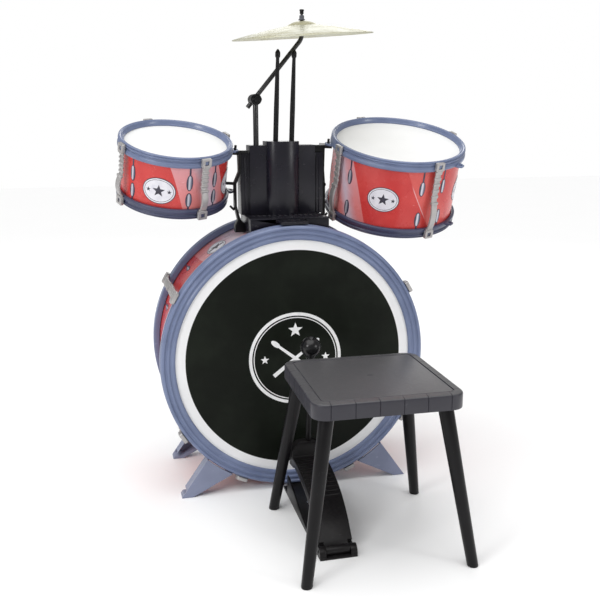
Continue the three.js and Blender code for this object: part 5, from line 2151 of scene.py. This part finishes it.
@dataclass
class Studio:
    """Pale floor, soft lights and the camera.

    Args:
        right: The camera's right.
        up: The camera's up.
        forward: Where it looks.
        lens: Its lens in millimetres on a 36 mm sensor.
        sun: Strength of the broad light from above.
        lights: The soft boxes.
    """

    eye: tuple[float, float, float] = (-280.344, -1177.896, 586.417)
    right: tuple[float, float, float] = (0.9715179, -0.2369554, -0.0022598)
    up: tuple[float, float, float] = (0.0549016, 0.2157992, 0.9748931)
    forward: tuple[float, float, float] = (0.2305185, 0.9472502, -0.2226620)
    lens: float = 48.445
    sky: float = 0.42
    sun: float = 2.15
    lights: tuple[SoftBox, ...] = (
        SoftBox("key_left", (-1.9, -1.3, 1.3), 0.6, 13.0),
        SoftBox("fill_right", (1.7, -1.6, 0.9), 0.5, 7.0),
        SoftBox("rim_back", (0.6, 1.9, 1.4), 0.9, 7.0),
    )

    def build(self, origin: Vector) -> None:
        """Builds the studio.
        """
        bpy.context.scene.view_settings.view_transform = "Standard"
        self._lay_floor()
        self._fill_room()
        for light in self.lights:
            light.hang(Vector((0.0, 0.0, 0.3)))
        self._aim_camera(origin)
        LOG.info("studio: floor, %d lights and camera", len(self.lights))

    def _lay_floor(self) -> None:
        """Lays the floor."""
        form = bmesh.new()
        bmesh.ops.create_grid(form, x_segments=8, y_segments=8, size=6.0)
        mesh = bpy.data.meshes.new("studio_floor")
        form.to_mesh(mesh)
        form.free()
        mesh.materials.append(PaleFloor("pale_floor", (0.93, 0.93, 0.93), 0.9).material())
        floor = bpy.data.objects.new("studio_floor", mesh)
        bpy.context.scene.collection.objects.link(floor)

    def _fill_room(self) -> None:
        """Makes the white surroundings, which light less than they show, and the broad light from above."""
        world = bpy.data.worlds.new("white_room")
        world.use_nodes = True
        graph = Graph(world.node_tree)
        seen = graph.add("ShaderNodeLightPath").outputs["Is Camera Ray"]
        ground = world.node_tree.nodes["Background"]
        ground.inputs["Color"].default_value = (1.0, 1.0, 1.0, 1.0)
        graph.feed(ground.inputs["Strength"], graph.smooth(seen, 0.0, 1.0, (self.sky, 1.0)))
        bpy.context.scene.world = world
        broad = bpy.data.lights.new("broad_overhead", "SUN")
        broad.energy = self.sun
        broad.angle = math.radians(70.0)
        overhead = bpy.data.objects.new("broad_overhead", broad)
        overhead.rotation_euler = (math.radians(12.0), math.radians(-10.0), 0.0)
        bpy.context.scene.collection.objects.link(overhead)

    def _aim_camera(self, origin: Vector) -> None:
        """Places the camera. See build for the argument."""
        camera = bpy.data.cameras.new("camera")
        camera.lens = self.lens
        camera.sensor_width = 36.0
        camera.clip_start = 0.05
        holder = bpy.data.objects.new("camera", camera)
        turned = Matrix((self.right, self.up, -Vector(self.forward))).transposed().to_4x4()
        holder.matrix_world = Matrix.Translation(origin + Vector(self.eye) * MM) @ turned
        bpy.context.scene.collection.objects.link(holder)
        bpy.context.scene.camera = holder



def leaned(place: tuple[float, float, float], to_player: float, to_right: float) -> Matrix:
    """Gives the frame of a tom that leans.

    Args:
        place: The middle of its rim.
        to_player: Its lean to the player in degrees.
        to_right: Its lean to the right in degrees.

    Returns:
        The frame.
    """
    up = Vector((math.tan(math.radians(to_right)), -math.tan(math.radians(to_player)), 1.0)).normalized()
    across = Vector((0.0, 1.0, 0.0)).cross(up).normalized()
    forward = up.cross(across)
    return Matrix.Translation(place) @ Matrix((across, forward, up)).transposed().to_4x4()


def lug_pairs(angles: Iterable[float], upper: Point, lower: Point,
              width: float = 10.0) -> tuple[LugPrint, ...]:
    """Gives an upper and a lower printed lug at each angle.

    Args:
        angles: Where they are, in degrees.
        upper: The upper oval's upper and lower end, in height from the rim.
        lower: The lower oval's upper and lower end.
        width: The ovals' width.

    Returns:
        The lugs.
    """
    return tuple(
        LugPrint(angle, *span, up, width) for angle in angles for span, up in ((upper, True), (lower, False))
    )


PRINT_RED: Colour = (0.55, 0.022, 0.022)


def make_drums() -> list[Drum]:
    """Gives the three drums with their sizes and prints."""
    bass = BassDrum(
        name="bass", radius=210.0, lip_radius=187.0, depth=176.5,
        clamp_angles=(29.5, 150.0, 213.0, 245.5, 295.0, 328.5),
        wrap=PrintedWrap("bass_print", PRINT_RED, 0.26, ((84.0, 128.0), (264.0, 308.0)), slant=0.06,
                         height=176.5),
        frame=Matrix.Translation((0.0, 0.0, 215.0)) @ SIDEWAYS,
        lug_prints=lug_pairs((19.0, 40.0, 139.5, 160.5, 202.5, 223.5), (-44.0, -66.0), (-110.0, -132.0), 9.0),
        badges=((123.0, -95.0), (57.0, -95.0), (303.0, -95.0)),
    )
    left = Drum(
        name="tom_left", radius=88.0, lip_radius=78.0, depth=97.5, clamp_angles=(25.0, 115.0, 205.0, 295.0),
        wrap=PrintedWrap("tom_left_print", PRINT_RED, 0.26, ((255.4, 312.0), (75.4, 132.0)), slant=0.29,
                         height=97.5),
        frame=leaned((-166.0, 90.0, 554.0), 18.2, 4.1), lug_angles=(0.0,),
        lug_prints=lug_pairs((281.5, 312.5, 218.0, 38.0, 101.0, 132.0), (-27.7, -53.1), (-56.3, -79.2)),
        badges=((250.0, -56.4), (344.0, -56.4), (70.0, -56.4), (164.0, -56.4)),
    )
    right = Drum(
        name="tom_right", radius=110.5, lip_radius=100.5, depth=128.5,
        clamp_angles=(16.0, 106.0, 196.0, 286.0),
        wrap=PrintedWrap("tom_right_print", PRINT_RED, 0.26, ((166.0, 206.0), (346.0, 386.0)), slant=0.233,
                         lines=(256.5, 76.5), height=128.5),
        frame=leaned((194.5, 90.0, 550.0), 18.2, 0.5), lug_angles=(173.0, 311.0),
        lug_prints=lug_pairs((208.6, 275.5, 298.0, 28.6, 95.5, 118.0), (-33.0, -58.0), (-85.0, -110.0)),
        badges=((242.7, -67.2), (332.0, -67.2), (62.7, -67.2), (152.0, -67.2)),
    )
    return [bass, left, right]


def main() -> None:
    logging.basicConfig(level=logging.INFO, format="%(name)s: %(message)s")
    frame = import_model()
    low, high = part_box("bass_front_head")
    drums = make_drums()
    origin = Vector(((low.x + high.x) / 2, low.y - drums[0].under_lip * MM, 0.0))
    shop = Workshop(frame["nodes"], origin)
    for part in [*drums, Tower(), Drumsticks(), CymbalStand(), Pedal(), Stool()]:
        part.build(shop)
        LOG.info("built %s", type(part).__name__)
    Studio().build(origin)


if __name__ == "__main__":
    main()
